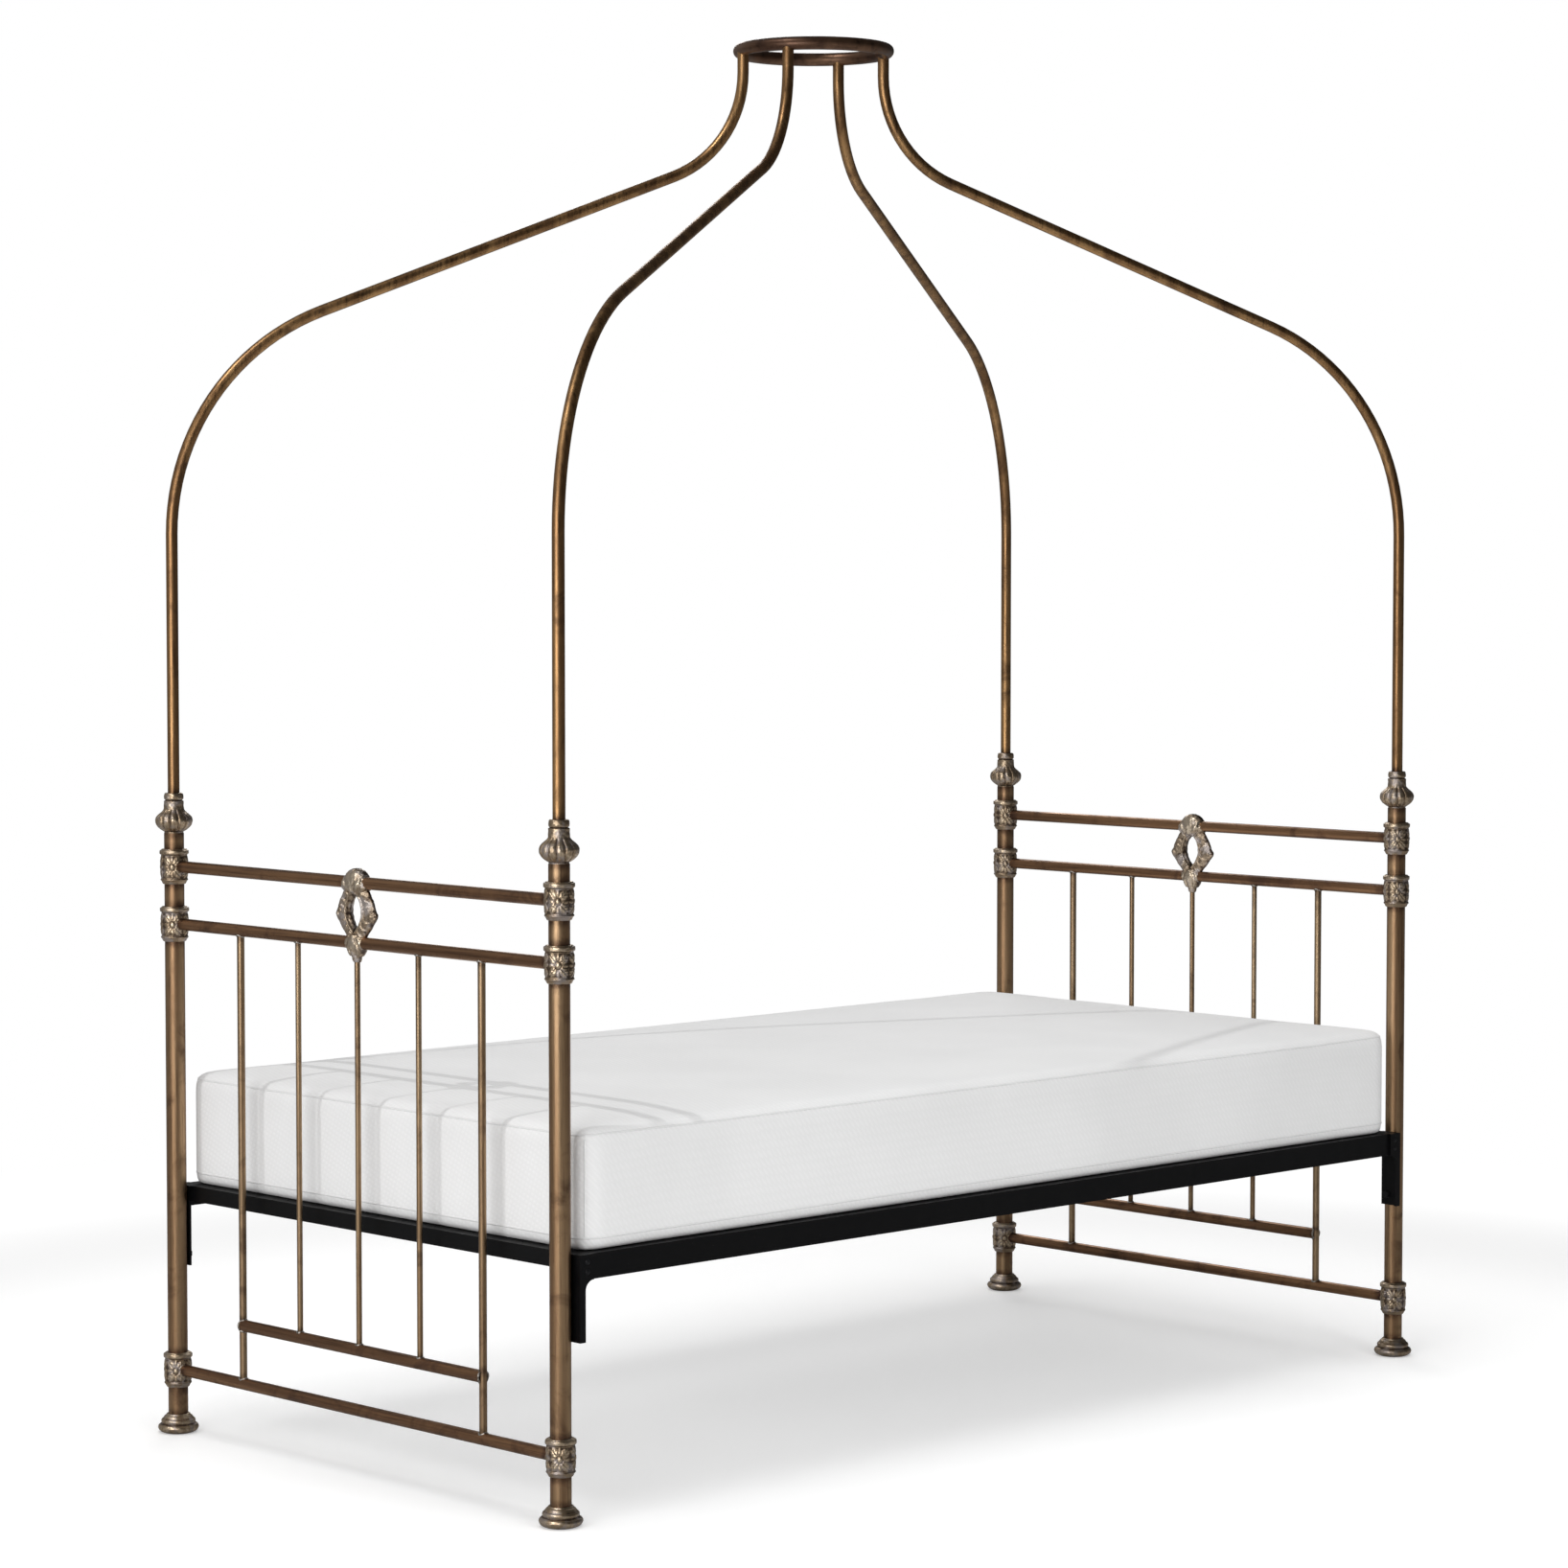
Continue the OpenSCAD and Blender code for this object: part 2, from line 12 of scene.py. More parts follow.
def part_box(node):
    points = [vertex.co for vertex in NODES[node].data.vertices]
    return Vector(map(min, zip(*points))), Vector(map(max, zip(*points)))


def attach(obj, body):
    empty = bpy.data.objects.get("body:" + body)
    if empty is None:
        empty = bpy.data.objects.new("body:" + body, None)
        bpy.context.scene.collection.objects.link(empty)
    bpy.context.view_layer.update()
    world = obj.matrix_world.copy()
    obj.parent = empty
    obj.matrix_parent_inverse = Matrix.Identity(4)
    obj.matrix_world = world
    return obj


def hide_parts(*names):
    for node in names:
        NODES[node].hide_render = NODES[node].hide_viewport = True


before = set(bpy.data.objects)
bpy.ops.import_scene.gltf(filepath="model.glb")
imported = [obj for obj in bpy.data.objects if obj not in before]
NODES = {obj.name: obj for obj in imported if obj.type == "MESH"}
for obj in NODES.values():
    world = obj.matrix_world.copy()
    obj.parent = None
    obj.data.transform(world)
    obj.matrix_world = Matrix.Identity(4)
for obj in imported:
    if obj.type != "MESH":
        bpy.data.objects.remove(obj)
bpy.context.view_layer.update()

MM = 0.001
SIDES = ("left", "right")
ENDS = ("front", "back")
CORNERS = [f"{side}_{end}" for side in SIDES for end in ENDS]
LEVELS = ("top", "middle", "bottom")
SEED = 7

# Gaps and mesh sizes
WELD_GAP = 1e-6
BORE_GAP = 0.02 * MM
SOCKET_GAP = 0.3 * MM
CASTING_VOXEL = 0.85 * MM
COLLAR_TURNS, FINIAL_TURNS, FOOT_TURNS = 168, 208, 144
LIMB_SIDES, BALL_STEPS = 20, 14
BEAD_POINTS, BEAD_SIDES = 40, 12

# Finishes, as linear red, green and blue. A rubbed metal's are bright, middle and dark.
TUBE_TONES = (0.45, 0.295, 0.165), (0.31, 0.185, 0.098), (0.085, 0.043, 0.025)
SPINDLE_TONES = (0.47, 0.335, 0.20), (0.33, 0.215, 0.12), (0.10, 0.06, 0.038)
RAIL_TONES = (0.35, 0.19, 0.095), (0.21, 0.11, 0.056), (0.08, 0.04, 0.027)
ARM_TONES = (0.50, 0.29, 0.125), (0.29, 0.155, 0.066), (0.06, 0.029, 0.017)
RING_TONES = (0.25, 0.14, 0.082), (0.10, 0.052, 0.033), (0.035, 0.017, 0.012)
# A casting's are ridge, body, hollow and patina.
CASTING_TONES = (0.60, 0.48, 0.34), (0.36, 0.265, 0.175), (0.11, 0.075, 0.052), (0.46, 0.41, 0.395)
MEDALLION_TONES = (0.62, 0.52, 0.40), (0.43, 0.335, 0.24), (0.10, 0.068, 0.050), (0.58, 0.53, 0.515)
ZINC_TONES = (0.36, 0.37, 0.39), (0.6, 0.6, 0.6)
SOLDER_TONES = (0.22, 0.19, 0.16), (0.55, 0.52, 0.48)
FLOOR_WHITE, FLOOR_REFLECTED = (0.80, 0.80, 0.80), (0.40, 0.40, 0.40)
KNIT_PITCH = 3.2 * MM
WAVE_SPAN = 6.283

# Springs of the deck
SPRING_WIRE_R = 1.0 * MM
SPRING_TURNS = 17
HOOK_LENGTH = 24 * MM
HOOK_INSET = 1.75 * MM

# Mattress cover: it starts slim and low, because it swells
COVER_SLIM, COVER_LOW = 1 * MM, 8 * MM
COVER_CORNER, COVER_TOP_EDGE, COVER_BASE_EDGE = 32 * MM, 20 * MM, 8 * MM
COVER_STEP = 16 * MM
SWELL_PRESSURE, SWELL_FRAMES, SWELL_CAP = 4.0, 20, 7 * MM
CROWN_RISE = 3 * MM
RIM_SEAM_R, CORNER_SEAM_R = 2.2 * MM, 1.6 * MM
RIM_SEAM_CORNER, RIM_SEAM_STEP = 36 * MM, 9 * MM

# Softboxes: name, place, aim, width x height, watts, and whether metal reflects them
SOFTBOXES = (
    ("key", (-5.3, -1.7, 1.6), (0, 0, 0.8), (3.2, 2.6), 116, True),
    ("side", (-0.8, -5.4, 1.9), (0, 0, 0.7), (2.0, 1.8), 92, False),
    ("top", (0, 0, 4.6), (0, 0, 0), (3, 3), 28, False),
    ("back", (3.4, 4.2, 3.9), (0, 0, 0.8), (1.8, 1.6), 45, True),
)
FLOOR_SOFTBOX = ("floor_top", (-0.9, -0.1, 4.4), (0, 0, 0), (3.8, 3.8), 78, False)
SUN_TRAVEL, SUN_STRENGTH, SUN_BLUR = (1, -0.14, -1.28), 0.72, 0.9

# Camera, in metres, degrees and millimetres of focal length
CAMERA_PLACE = (-5.1199, -5.2595, 1.4387)
CAMERA_TILT, CAMERA_PAN = -3.127, 46.158
FOCAL_LENGTH, SENSOR_WIDTH = 99.67, 36.0


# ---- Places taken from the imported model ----

def centre(node):
    low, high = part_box(node)
    return (low + high) / 2


def lowest(node):
    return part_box(node)[0].z


def highest(node):
    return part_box(node)[1].z


def width(node, axis):
    low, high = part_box(node)
    return (high - low)[axis]


POST_R = width("post_left_front", 0) / 2
RAIL_R = width("top_rail_left", 0) / 2
ARM_R = 9.5 * MM  # an arm is bent, so its box doesn't give this
TOP_RAIL_Z = centre("top_rail_left").z
MIDDLE_RAIL_Z = centre("middle_rail_left").z
SHORT_RAIL_Z = centre("short_rail_left").z
BOTTOM_RAIL_Z = centre("bottom_rail_left").z
POST_TOP_Z = highest("post_left_front")


# ---- Meshes from numbers ----

def in_scene(name, data):
    made = bpy.data.objects.new(name, data)
    bpy.context.scene.collection.objects.link(made)
    return made


def shade_smooth(mesh):
    mesh.polygons.foreach_set("use_smooth", [True] * len(mesh.polygons))


def new_object(name, vertices, faces):
    mesh = bpy.data.meshes.new(name)
    mesh.from_pydata([tuple(v) for v in vertices], [], [tuple(f) for f in faces])
    mesh.update()
    shade_smooth(mesh)
    return in_scene(name, mesh)


def set_relief(obj, values):
    """Stores how far each vertex stands out, 0 in a hollow and 1 on a ridge, for the patina. It also
    carries painted shade: the foot is lowered in it at its base and the medallion on its flanks.
    """
    layer = obj.data.attributes.new("relief", "FLOAT", "POINT")
    layer.data.foreach_set("value", np.clip(np.asarray(values, float), 0, 1))


def weld(obj):
    """Joins vertices that coincide and turns the faces outwards."""
    grown = bmesh.new()
    grown.from_mesh(obj.data)
    bmesh.ops.remove_doubles(grown, verts=grown.verts, dist=WELD_GAP)
    bmesh.ops.recalc_face_normals(grown, faces=grown.faces)
    grown.to_mesh(obj.data)
    grown.free()


def applied(obj):
    """Turns the object's modifiers into plain mesh."""
    graph = bpy.context.evaluated_depsgraph_get()
    shape = bpy.data.meshes.new_from_object(obj.evaluated_get(graph))
    obj.modifiers.clear()
    old, obj.data = obj.data, shape
    bpy.data.meshes.remove(old)


def vertex_values(mesh, what):
    """Each vertex's place ("co") or direction ("normal"), one row each."""
    values = np.zeros(len(mesh.vertices) * 3)
    mesh.vertices.foreach_get(what, values)
    return values.reshape(-1, 3)


def ring_faces(rows, columns, close_rows, close_columns):
    """Quads of a grid of rows x columns vertices, numbered row by row."""
    faces = []
    for i in range(rows if close_rows else rows - 1):
        for j in range(columns if close_columns else columns - 1):
            i2, j2 = (i + 1) % rows, (j + 1) % columns
            faces.append((i * columns + j, i2 * columns + j, i2 * columns + j2, i * columns + j2))
    return faces


def rounded(points):
    """Cuts the corners of an open line of points twice, keeping its two ends."""
    line = [np.asarray(p, float) for p in points]
    for _ in range(2):
        cut = [line[0]]
        for a, b in zip(line, line[1:]):
            cut += [a * 0.78 + b * 0.22, a * 0.22 + b * 0.78]
        line = cut + [line[-1]]
    return np.array(line)


def spaced(points, step):
    """The same line with points about one step apart."""
    points = np.asarray(points, float)
    along = np.concatenate([[0], np.cumsum(np.linalg.norm(np.diff(points, axis=0), axis=1))])
    count = max(int(along[-1] / step), 2)
    at = np.linspace(0, along[-1], count + 1)
    return np.stack([np.interp(at, along, points[:, k]) for k in range(points.shape[1])], axis=1)


def lathe(name, outline, place, turns, carve, closed=True):
    """A turned solid about a vertical axis. outline is (radius, height) pairs in metres, and
    carve(angle, radius, height) gives how far each point moves out and its relief."""
    outline = np.asarray(outline)
    angle = np.linspace(0, 2 * math.pi, turns, endpoint=False)
    a, r = np.meshgrid(angle, outline[:, 0], indexing="ij")
    _, h = np.meshgrid(angle, outline[:, 1], indexing="ij")
    out, relief = carve(a, r, h)
    radius = np.maximum(r + out, 0)
    points = np.stack([radius * np.cos(a), radius * np.sin(a), h], axis=-1).reshape(-1, 3)
    points += np.array(place)
    made = new_object(name, points, ring_faces(turns, len(outline), True, closed))
    set_relief(made, relief.reshape(-1))
    weld(made)
    shade_smooth(made.data)
    return made


def frames_along(points, up, closed=False):
    """A tangent and two cross directions at each point of a line, or of a closed loop."""
    points = np.asarray(points, float)
    if closed:
        tangent = np.roll(points, -1, axis=0) - np.roll(points, 1, axis=0)
    else:
        tangent = np.gradient(points, axis=0)
    tangent /= np.linalg.norm(tangent, axis=1)[:, None] + 1e-12
    side = np.cross(tangent, np.asarray(up, float))
    side /= np.linalg.norm(side, axis=1)[:, None] + 1e-12
    return tangent, side, np.cross(side, tangent)


def close_ends(rows, faces, line, sides):
    """Adds a fan of triangles on the first and the last ring of a bar along a line."""
    first, last = len(rows), len(rows) + 1
    rows += [line[0], line[-1]]
    base = (len(line) - 1) * sides
    for j in range(sides):
        k = (j + 1) % sides
        faces += [(first, k, j), (last, base + j, base + k)]


def swept(points, radii, sides, up, closed=False):
    """Vertices and faces of a round bar along a line. up is any way that the line never takes."""
    points = np.asarray(points, float)
    radii = np.broadcast_to(np.asarray(radii, float), (len(points),))
    _, side, other = frames_along(points, up, closed)
    around = np.linspace(0, 2 * math.pi, sides, endpoint=False)
    rows = [p + s * (r * math.cos(t)) + o * (r * math.sin(t))
            for p, s, o, r in zip(points, side, other, radii) for t in around]
    faces = ring_faces(len(points), sides, closed, True)
    if not closed:
        close_ends(rows, faces, points, sides)
    return rows, faces


def gather(parts):
    """Joins (vertices, faces) pairs."""
    vertices, faces = [], []
    for some, theirs in parts:
        start = len(vertices)
        vertices += [tuple(v) for v in some]
        faces += [tuple(i + start for i in f) for f in theirs]
    return vertices, faces


def soft_noise(x, y, z, size, seed=0):
    """Smooth repeatable unevenness, about -1 to 1, with lumps about one size wide."""
    total = np.zeros_like(x)
    draw = np.random.default_rng(SEED + seed)
    for _ in range(7):
        way = draw.normal(size=3)
        way /= np.linalg.norm(way)
        turn = draw.uniform(0, 2 * math.pi)
        pace = 2 * math.pi / (size * draw.uniform(0.7, 1.6))
        total += np.sin((x * way[0] + y * way[1] + z * way[2]) * pace + turn)
    return total / 4


# ---- Shader building ----

def set_inputs(node, **values):
    """Sets a node's inputs by name, with _ for each space."""
    for name, value in values.items():
        node.inputs[name.replace("_", " ")].default_value = value


class Paint:
    """A node material with one short call for each kind of node."""

    def __init__(self, name, metallic=0.0, coat=0.0, coat_roughness=0.25, sheen=0.0, specular=0.5):
        self.made = bpy.data.materials.new(name)
        self.made.use_nodes = True
        self.tree = self.made.node_tree
        self.shader = self.tree.nodes["Principled BSDF"]
        set_inputs(self.shader, Metallic=metallic, Coat_Weight=coat, Coat_Roughness=coat_roughness,
                   Sheen_Weight=sheen, Specular_IOR_Level=specular)
        self.place = self.node("ShaderNodeTexCoord").outputs["Object"]

    def node(self, kind, **settings):
        made = self.tree.nodes.new(kind)
        for name, value in settings.items():
            setattr(made, name, value)
        return made

    def put(self, socket, value):
        if isinstance(value, bpy.types.NodeSocket):
            self.tree.links.new(value, socket)
        else:
            socket.default_value = value

    def stretched(self, scale, turn=(0, 0, 0)):
        made = self.node("ShaderNodeMapping")
        self.put(made.inputs["Vector"], self.place)
        set_inputs(made, Scale=scale, Rotation=turn)
        return made.outputs["Vector"]

    def noise(self, scale, detail, roughness=0.55, where=None, distortion=0.0):
        made = self.node("ShaderNodeTexNoise")
        self.put(made.inputs["Vector"], where or self.place)
        set_inputs(made, Scale=scale, Detail=detail, Roughness=roughness, Distortion=distortion)
        return made.outputs["Fac"]

    def ranged(self, value, low, high, to_low=0.0, to_high=1.0):
        made = self.node("ShaderNodeMapRange", interpolation_type="SMOOTHSTEP")
        self.put(made.inputs["Value"], value)
        set_inputs(made, From_Min=low, From_Max=high, To_Min=to_low, To_Max=to_high)
        return made.outputs["Result"]

    def math(self, operation, a, b=0.0):
        made = self.node("ShaderNodeMath", operation=operation)
        self.put(made.inputs[0], a)
        self.put(made.inputs[1], b)
        return made.outputs["Value"]

    def mix(self, factor, a, b):
        made = self.node("ShaderNodeMix", data_type="RGBA")
        self.put(made.inputs[0], factor)
        self.put(made.inputs[6], (*a, 1) if isinstance(a, tuple) else a)
        self.put(made.inputs[7], (*b, 1) if isinstance(b, tuple) else b)
        return made.outputs[2]

    def axis(self, name):
        made = self.node("ShaderNodeSeparateXYZ")
        self.put(made.inputs[0], self.place)
        return made.outputs[name]

    def bands(self, value, places, reach):
        """1 at each of the places along an axis, fading to 0 at the reach."""
        total = None
        for at in places:
            away = self.math("ABSOLUTE", self.math("SUBTRACT", value, at))
            near = self.ranged(away, 0.0, reach, 1.0, 0.0)
            total = near if total is None else self.math("MAXIMUM", total, near)
        return total

    def relief(self):
        return self.node("ShaderNodeAttribute", attribute_name="relief").outputs["Fac"]

    def bump(self, height, distance, strength, before=None):
        made = self.node("ShaderNodeBump")
        self.put(made.inputs["Height"], height)
        set_inputs(made, Distance=distance, Strength=strength)
        if before is not None:
            self.put(made.inputs["Normal"], before)
        return made.outputs["Normal"]

    def finish(self, colour, roughness, normal=None):
        self.put(self.shader.inputs["Base Color"], colour)
        self.put(self.shader.inputs["Roughness"], roughness)
        if normal is not None:
            self.put(self.shader.inputs["Normal"], normal)
        return self.made


def rubbed_metal(name, tones, grain, shaded_joints=None):
    """Hand-rubbed lacquered metal. tones are its bright, middle and dark colours, and grain is the noise
    scale on X, Y and Z, small along the rubbing. The last argument is (axis, places, reach): bands there,
    where parts meet, are darkened towards the dark tone as painted shade."""
    bright, middle, dark = tones
    paint = Paint(name, metallic=1.0, coat=0.18, coat_roughness=0.34)
    fine = paint.noise(1.0, 3.0, 0.6, paint.stretched(grain))
    broad = paint.noise(1.0, 3.0, 0.5, paint.stretched(tuple(g * 0.16 for g in grain)))
    patches = paint.noise(17.0, 4.0, 0.6, distortion=0.6)
    colour = paint.mix(paint.ranged(broad, 0.36, 0.66), middle, bright)
    colour = paint.mix(paint.ranged(patches, 0.5, 0.72, 0.0, 0.65), colour, dark)
    colour = paint.mix(paint.ranged(fine, 0.3, 0.5, 0.45, 0.0), colour, dark)
    if shaded_joints:
        axis, places, reach = shaded_joints
        # Painted shade: bands where parts meet are darkened, broken up by noise.
        joint_shade = paint.bands(paint.axis(axis), places, reach)
        joint_shade = paint.math("MULTIPLY", joint_shade, paint.ranged(paint.noise(90.0, 3.0), 0.3, 0.6, 0.35, 0.9))
        colour = paint.mix(joint_shade, colour, dark)
    pits = paint.noise(900.0, 2.0, 0.5)
    rough = paint.math("ADD", paint.ranged(patches, 0.35, 0.7, 0.34, 0.48),
                       paint.ranged(fine, 0.3, 0.7, -0.05, 0.07))
    normal = paint.bump(fine, 0.00005, 0.6)
    normal = paint.bump(paint.ranged(pits, 0.2, 0.42), 0.00004, 0.5, normal)
    return paint.finish(colour, rough, normal)


def cast_metal(name, tones):
    """Cast aged metal: rubbed bright on the ridges, grey patina between, dark in the hollows, and dark as
    painted shade where the relief is lowered for it. tones are the colours of its ridges, body, hollows and
    patina."""
    on_ridge, body, hollow, patina = tones
    paint = Paint(name, metallic=1.0, coat=0.15, coat_roughness=0.35)
    relief = paint.relief()
    uneven = paint.noise(160.0, 5.0, 0.65, distortion=0.4)
    cloud = paint.noise(55.0, 3.0, 0.5)
    height = paint.math("ADD", relief, paint.ranged(uneven, 0.3, 0.7, -0.16, 0.16))
    colour = paint.mix(paint.ranged(height, 0.12, 0.42), hollow, body)
    colour = paint.mix(paint.ranged(cloud, 0.46, 0.62, 0.0, 0.75), colour, patina)
    colour = paint.mix(paint.ranged(height, 0.55, 0.86), colour, on_ridge)
    colour = paint.mix(paint.ranged(height, 0.02, 0.26, 0.92, 0.0), colour, hollow)
    grain = paint.noise(1100.0, 3.0, 0.6)
    rough = paint.math("ADD", paint.ranged(height, 0.2, 0.9, 0.5, 0.3),
                       paint.ranged(cloud, 0.4, 0.7, 0.0, 0.1))
    normal = paint.bump(uneven, 0.0005, 0.5)
    normal = paint.bump(grain, 0.00008, 0.7, normal)
    return paint.finish(colour, rough, normal)


def enamel(name, colour, rub, rough):
    """Baked enamel over steel: orange peel, a little dust, and rubbed spots."""
    paint = Paint(name, specular=0.16)
    peel = paint.noise(520.0, 2.0, 0.5)
    dust = paint.noise(24.0, 5.0, 0.65, distortion=0.5)
    chips = paint.noise(210.0, 3.0, 0.7)
    tone = paint.mix(paint.ranged(dust, 0.45, 0.75, 0.0, 0.55), colour, tuple(c * 1.9 for c in colour))
    tone = paint.mix(paint.ranged(chips, 0.69, 0.75, 0.0, 0.6), tone, rub)
    roughness = paint.ranged(dust, 0.35, 0.7, *rough)
    return paint.finish(tone, roughness, paint.bump(peel, 0.00012, 0.5))


def speckled_metal(name, grain, span, tones, rough, bump):
    """Plain metal speckled in two tones: the zinc of the wires, or the solder of the beads."""
    paint = Paint(name, metallic=1.0)
    spots = paint.noise(grain, 4.0, 0.6)
    colour = paint.mix(paint.ranged(spots, *span), *tones)
    return paint.finish(colour, paint.ranged(spots, 0.3, 0.7, *rough), paint.bump(spots, *bump))


def knitted_cover(name, white_low, white_high):
    """White double-knit ticking: small diamond stitches, faint wrinkles and a soft nap."""
    paint = Paint(name, sheen=0.18, specular=0.2)
    set_inputs(paint.shader, Sheen_Roughness=0.5)
    stitches = []
    for turn in (0.785, -0.785):
        wave = paint.node("ShaderNodeTexWave", wave_type="BANDS", bands_direction="X", wave_profile="SIN")
        paint.put(wave.inputs["Vector"], paint.stretched((1, 1, 1), (turn, turn * 0.6, turn)))
        set_inputs(wave, Scale=1 / (KNIT_PITCH * WAVE_SPAN), Distortion=0.6, Detail=1.0)
        stitches.append(wave.outputs["Fac"])
    knit = paint.math("MULTIPLY", *stitches)
    nap = paint.noise(1400.0, 3.0, 0.6)
    ripples = paint.noise(1.0, 3.0, 0.5, paint.stretched((3.2, 5.5, 9.0)))
    tone = paint.noise(3.5, 3.0, 0.5)
    white = paint.mix(paint.ranged(tone, 0.35, 0.7), (white_low,) * 3, (white_high,) * 3)
    white = paint.mix(paint.ranged(knit, 0.0, 0.5, 0.16, 0.0), white, (white_low * 0.84,) * 3)
    normal = paint.bump(ripples, 0.004, 0.35)
    normal = paint.bump(knit, 0.0005, 0.5, normal)
    normal = paint.bump(nap, 0.00015, 0.4, normal)
    return paint.finish(white, paint.ranged(nap, 0.3, 0.7, 0.82, 0.95), normal)


def floor_paint(name, glow, near, far):
    """Pale studio floor. What the camera sees is lifted by a glow that grows from near to far, in metres,
    so that it runs into the backdrop, and the metal reflects it as a dim surface."""
    paint = Paint(name, specular=0.0)
    length = paint.node("ShaderNodeVectorMath", operation="LENGTH")
    paint.put(length.inputs[0], paint.place)
    away = paint.ranged(length.outputs["Value"], near, far)
    ray = paint.node("ShaderNodeLightPath").outputs
    colour = paint.mix(away, FLOOR_WHITE, (0.0, 0.0, 0.0))
    colour = paint.mix(ray["Is Glossy Ray"], colour, FLOOR_REFLECTED)
    set_inputs(paint.shader, Emission_Color=(1, 1, 1, 1))
    glows = paint.math("MULTIPLY", paint.ranged(away, 0.0, 1.0, glow, 1.0), ray["Is Camera Ray"])
    paint.put(paint.shader.inputs["Emission Strength"], glows)
    return paint.finish(colour, 0.9)


# ---- Castings ----

def smooth_step(value, low, high):
    t = np.clip((value - low) / (high - low), 0, 1)
    return t * t * (3 - 2 * t)


def ridge(distance, half_width):
    """A rounded ridge: 1 on its middle line, 0 at its edge and beyond."""
    return np.sqrt(np.clip(1 - (distance / half_width) ** 2, 0, 1))


def turned(u, v, degrees):
    """How far a point lies along and across a direction."""
    cosine, sine = math.cos(math.radians(degrees)), math.sin(math.radians(degrees))
    return u * cosine + v * sine, v * cosine - u * sine


def leaf_cross(u, v):
    """Height, 0 to 1, of a flower over a cell from -1 to 1: four veined leaves, buds and a boss."""
    height = np.full_like(u, 0.08)
    for turn in (45, 135, 225, 315):
        along, across = turned(u, v, turn)
        leaf = ridge(np.hypot((along - 0.70) / 0.56, across / 0.37), 1.0)
        leaf = leaf - 0.42 * np.exp(-(across / 0.055) ** 2) * (leaf > 0)
        leaf = leaf + 0.10 * np.sin(along * 21 - np.abs(across) * 19) * (leaf > 0.2)
        height = np.maximum(height, leaf * 0.88)
    for turn in (0, 90, 180, 270):
        along, across = turned(u, v, turn)
        height = np.maximum(height, 0.72 * ridge(np.hypot((along - 0.66) / 0.30, across / 0.17), 1.0))
    from_middle = np.hypot(u, v)
    height = np.where(from_middle < 0.33, 0.15, height)
    return np.maximum(height, ridge(from_middle, 0.25))


def cast_lumps(angle, radius, height, place, size, seed):
    """The slight unevenness of a casting that stands at a place, about -1 to 1."""
    return soft_noise(radius * np.cos(angle) + place.x, radius * np.sin(angle) + place.y,
                      height + place.z, size, seed)


def near_height(height, at, reach):
    """1 at one height, fading to 0 beyond the reach."""
    return np.exp(-((height - at) / reach) ** 2)


def measures(node, base_z):
    """A turned casting's place on its axis at base_z, its radius and its height above there."""
    place = centre(node)
    place.z = base_z
    return place, width(node, 0) / 2, highest(node) - base_z


def collar(name, node):
    """A sleeve on the post with a moulding at each end and four leaf flowers round the band between."""
    place, r, tall = measures(node, lowest(node))
    bore = POST_R + BORE_GAP
    band_low, band_high = 9 * MM, tall - 10 * MM
    outline = rounded([
        (bore, 0), (r - 6 * MM, 0), (r - 5 * MM, 0.6 * MM), (r - 2.9 * MM, 5.2 * MM),
        (r - 1.4 * MM, 6.2 * MM), (r - 1.4 * MM, 7.8 * MM), (r - 2.4 * MM, 8.6 * MM),
        (r - 2.2 * MM, band_low + 2 * MM), (r - 1.5 * MM, tall * 0.5),
        (r - 2.2 * MM, band_high - 2 * MM), (r - 2.6 * MM, band_high + 0.6 * MM),
        (r - 0.4 * MM, band_high + 1.6 * MM), (r - 0.1 * MM, band_high + 3 * MM),
        (r - 0.1 * MM, tall - 3.2 * MM), (r - 0.6 * MM, tall - 2.2 * MM),
        (r - 2.6 * MM, tall - 2 * MM), (r - 3.2 * MM, tall - 0.4 * MM),
        (bore + 2 * MM, tall), (bore, tall)])
    outline = spaced(outline, 0.75 * MM)
    flowers, leaf_rise, ground_sink, lump_rise = 4, 2.0 * MM, 0.7 * MM, 0.22 * MM
    middle, half = (band_low + band_high) / 2, (band_high - band_low) / 2

    def carve(angle, radius, height):
        cell = 2 * math.pi / flowers
        u = ((angle % cell) / cell - 0.5) * 2
        v = (height - middle) / half
        outside = radius > r - 4.5 * MM
        inside_band = smooth_step(1.0 - np.abs(v), 0.0, 0.12) * outside
        leaves = leaf_cross(u, v)
        lumps = cast_lumps(angle, radius, height, place, 6 * MM, 1) * outside
        out = inside_band * (leaves * leaf_rise - ground_sink) + lumps * lump_rise
        out = np.where(outside, np.minimum(out, r - radius), 0)
        relief = np.where(inside_band > 0.3, 0.05 + leaves * 0.95, 0.72)
        relief = np.where(height < 7 * MM, 0.5, relief)
        relief -= 0.6 * near_height(height, band_high + 0.6 * MM, 1.2 * MM)
        relief -= 0.5 * near_height(height, 8.4 * MM, 1.2 * MM)
        return out, relief * (radius > bore + 0.5 * MM)

    made = lathe(name, outline, place, COLLAR_TURNS, carve)
    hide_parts(node)
    return made


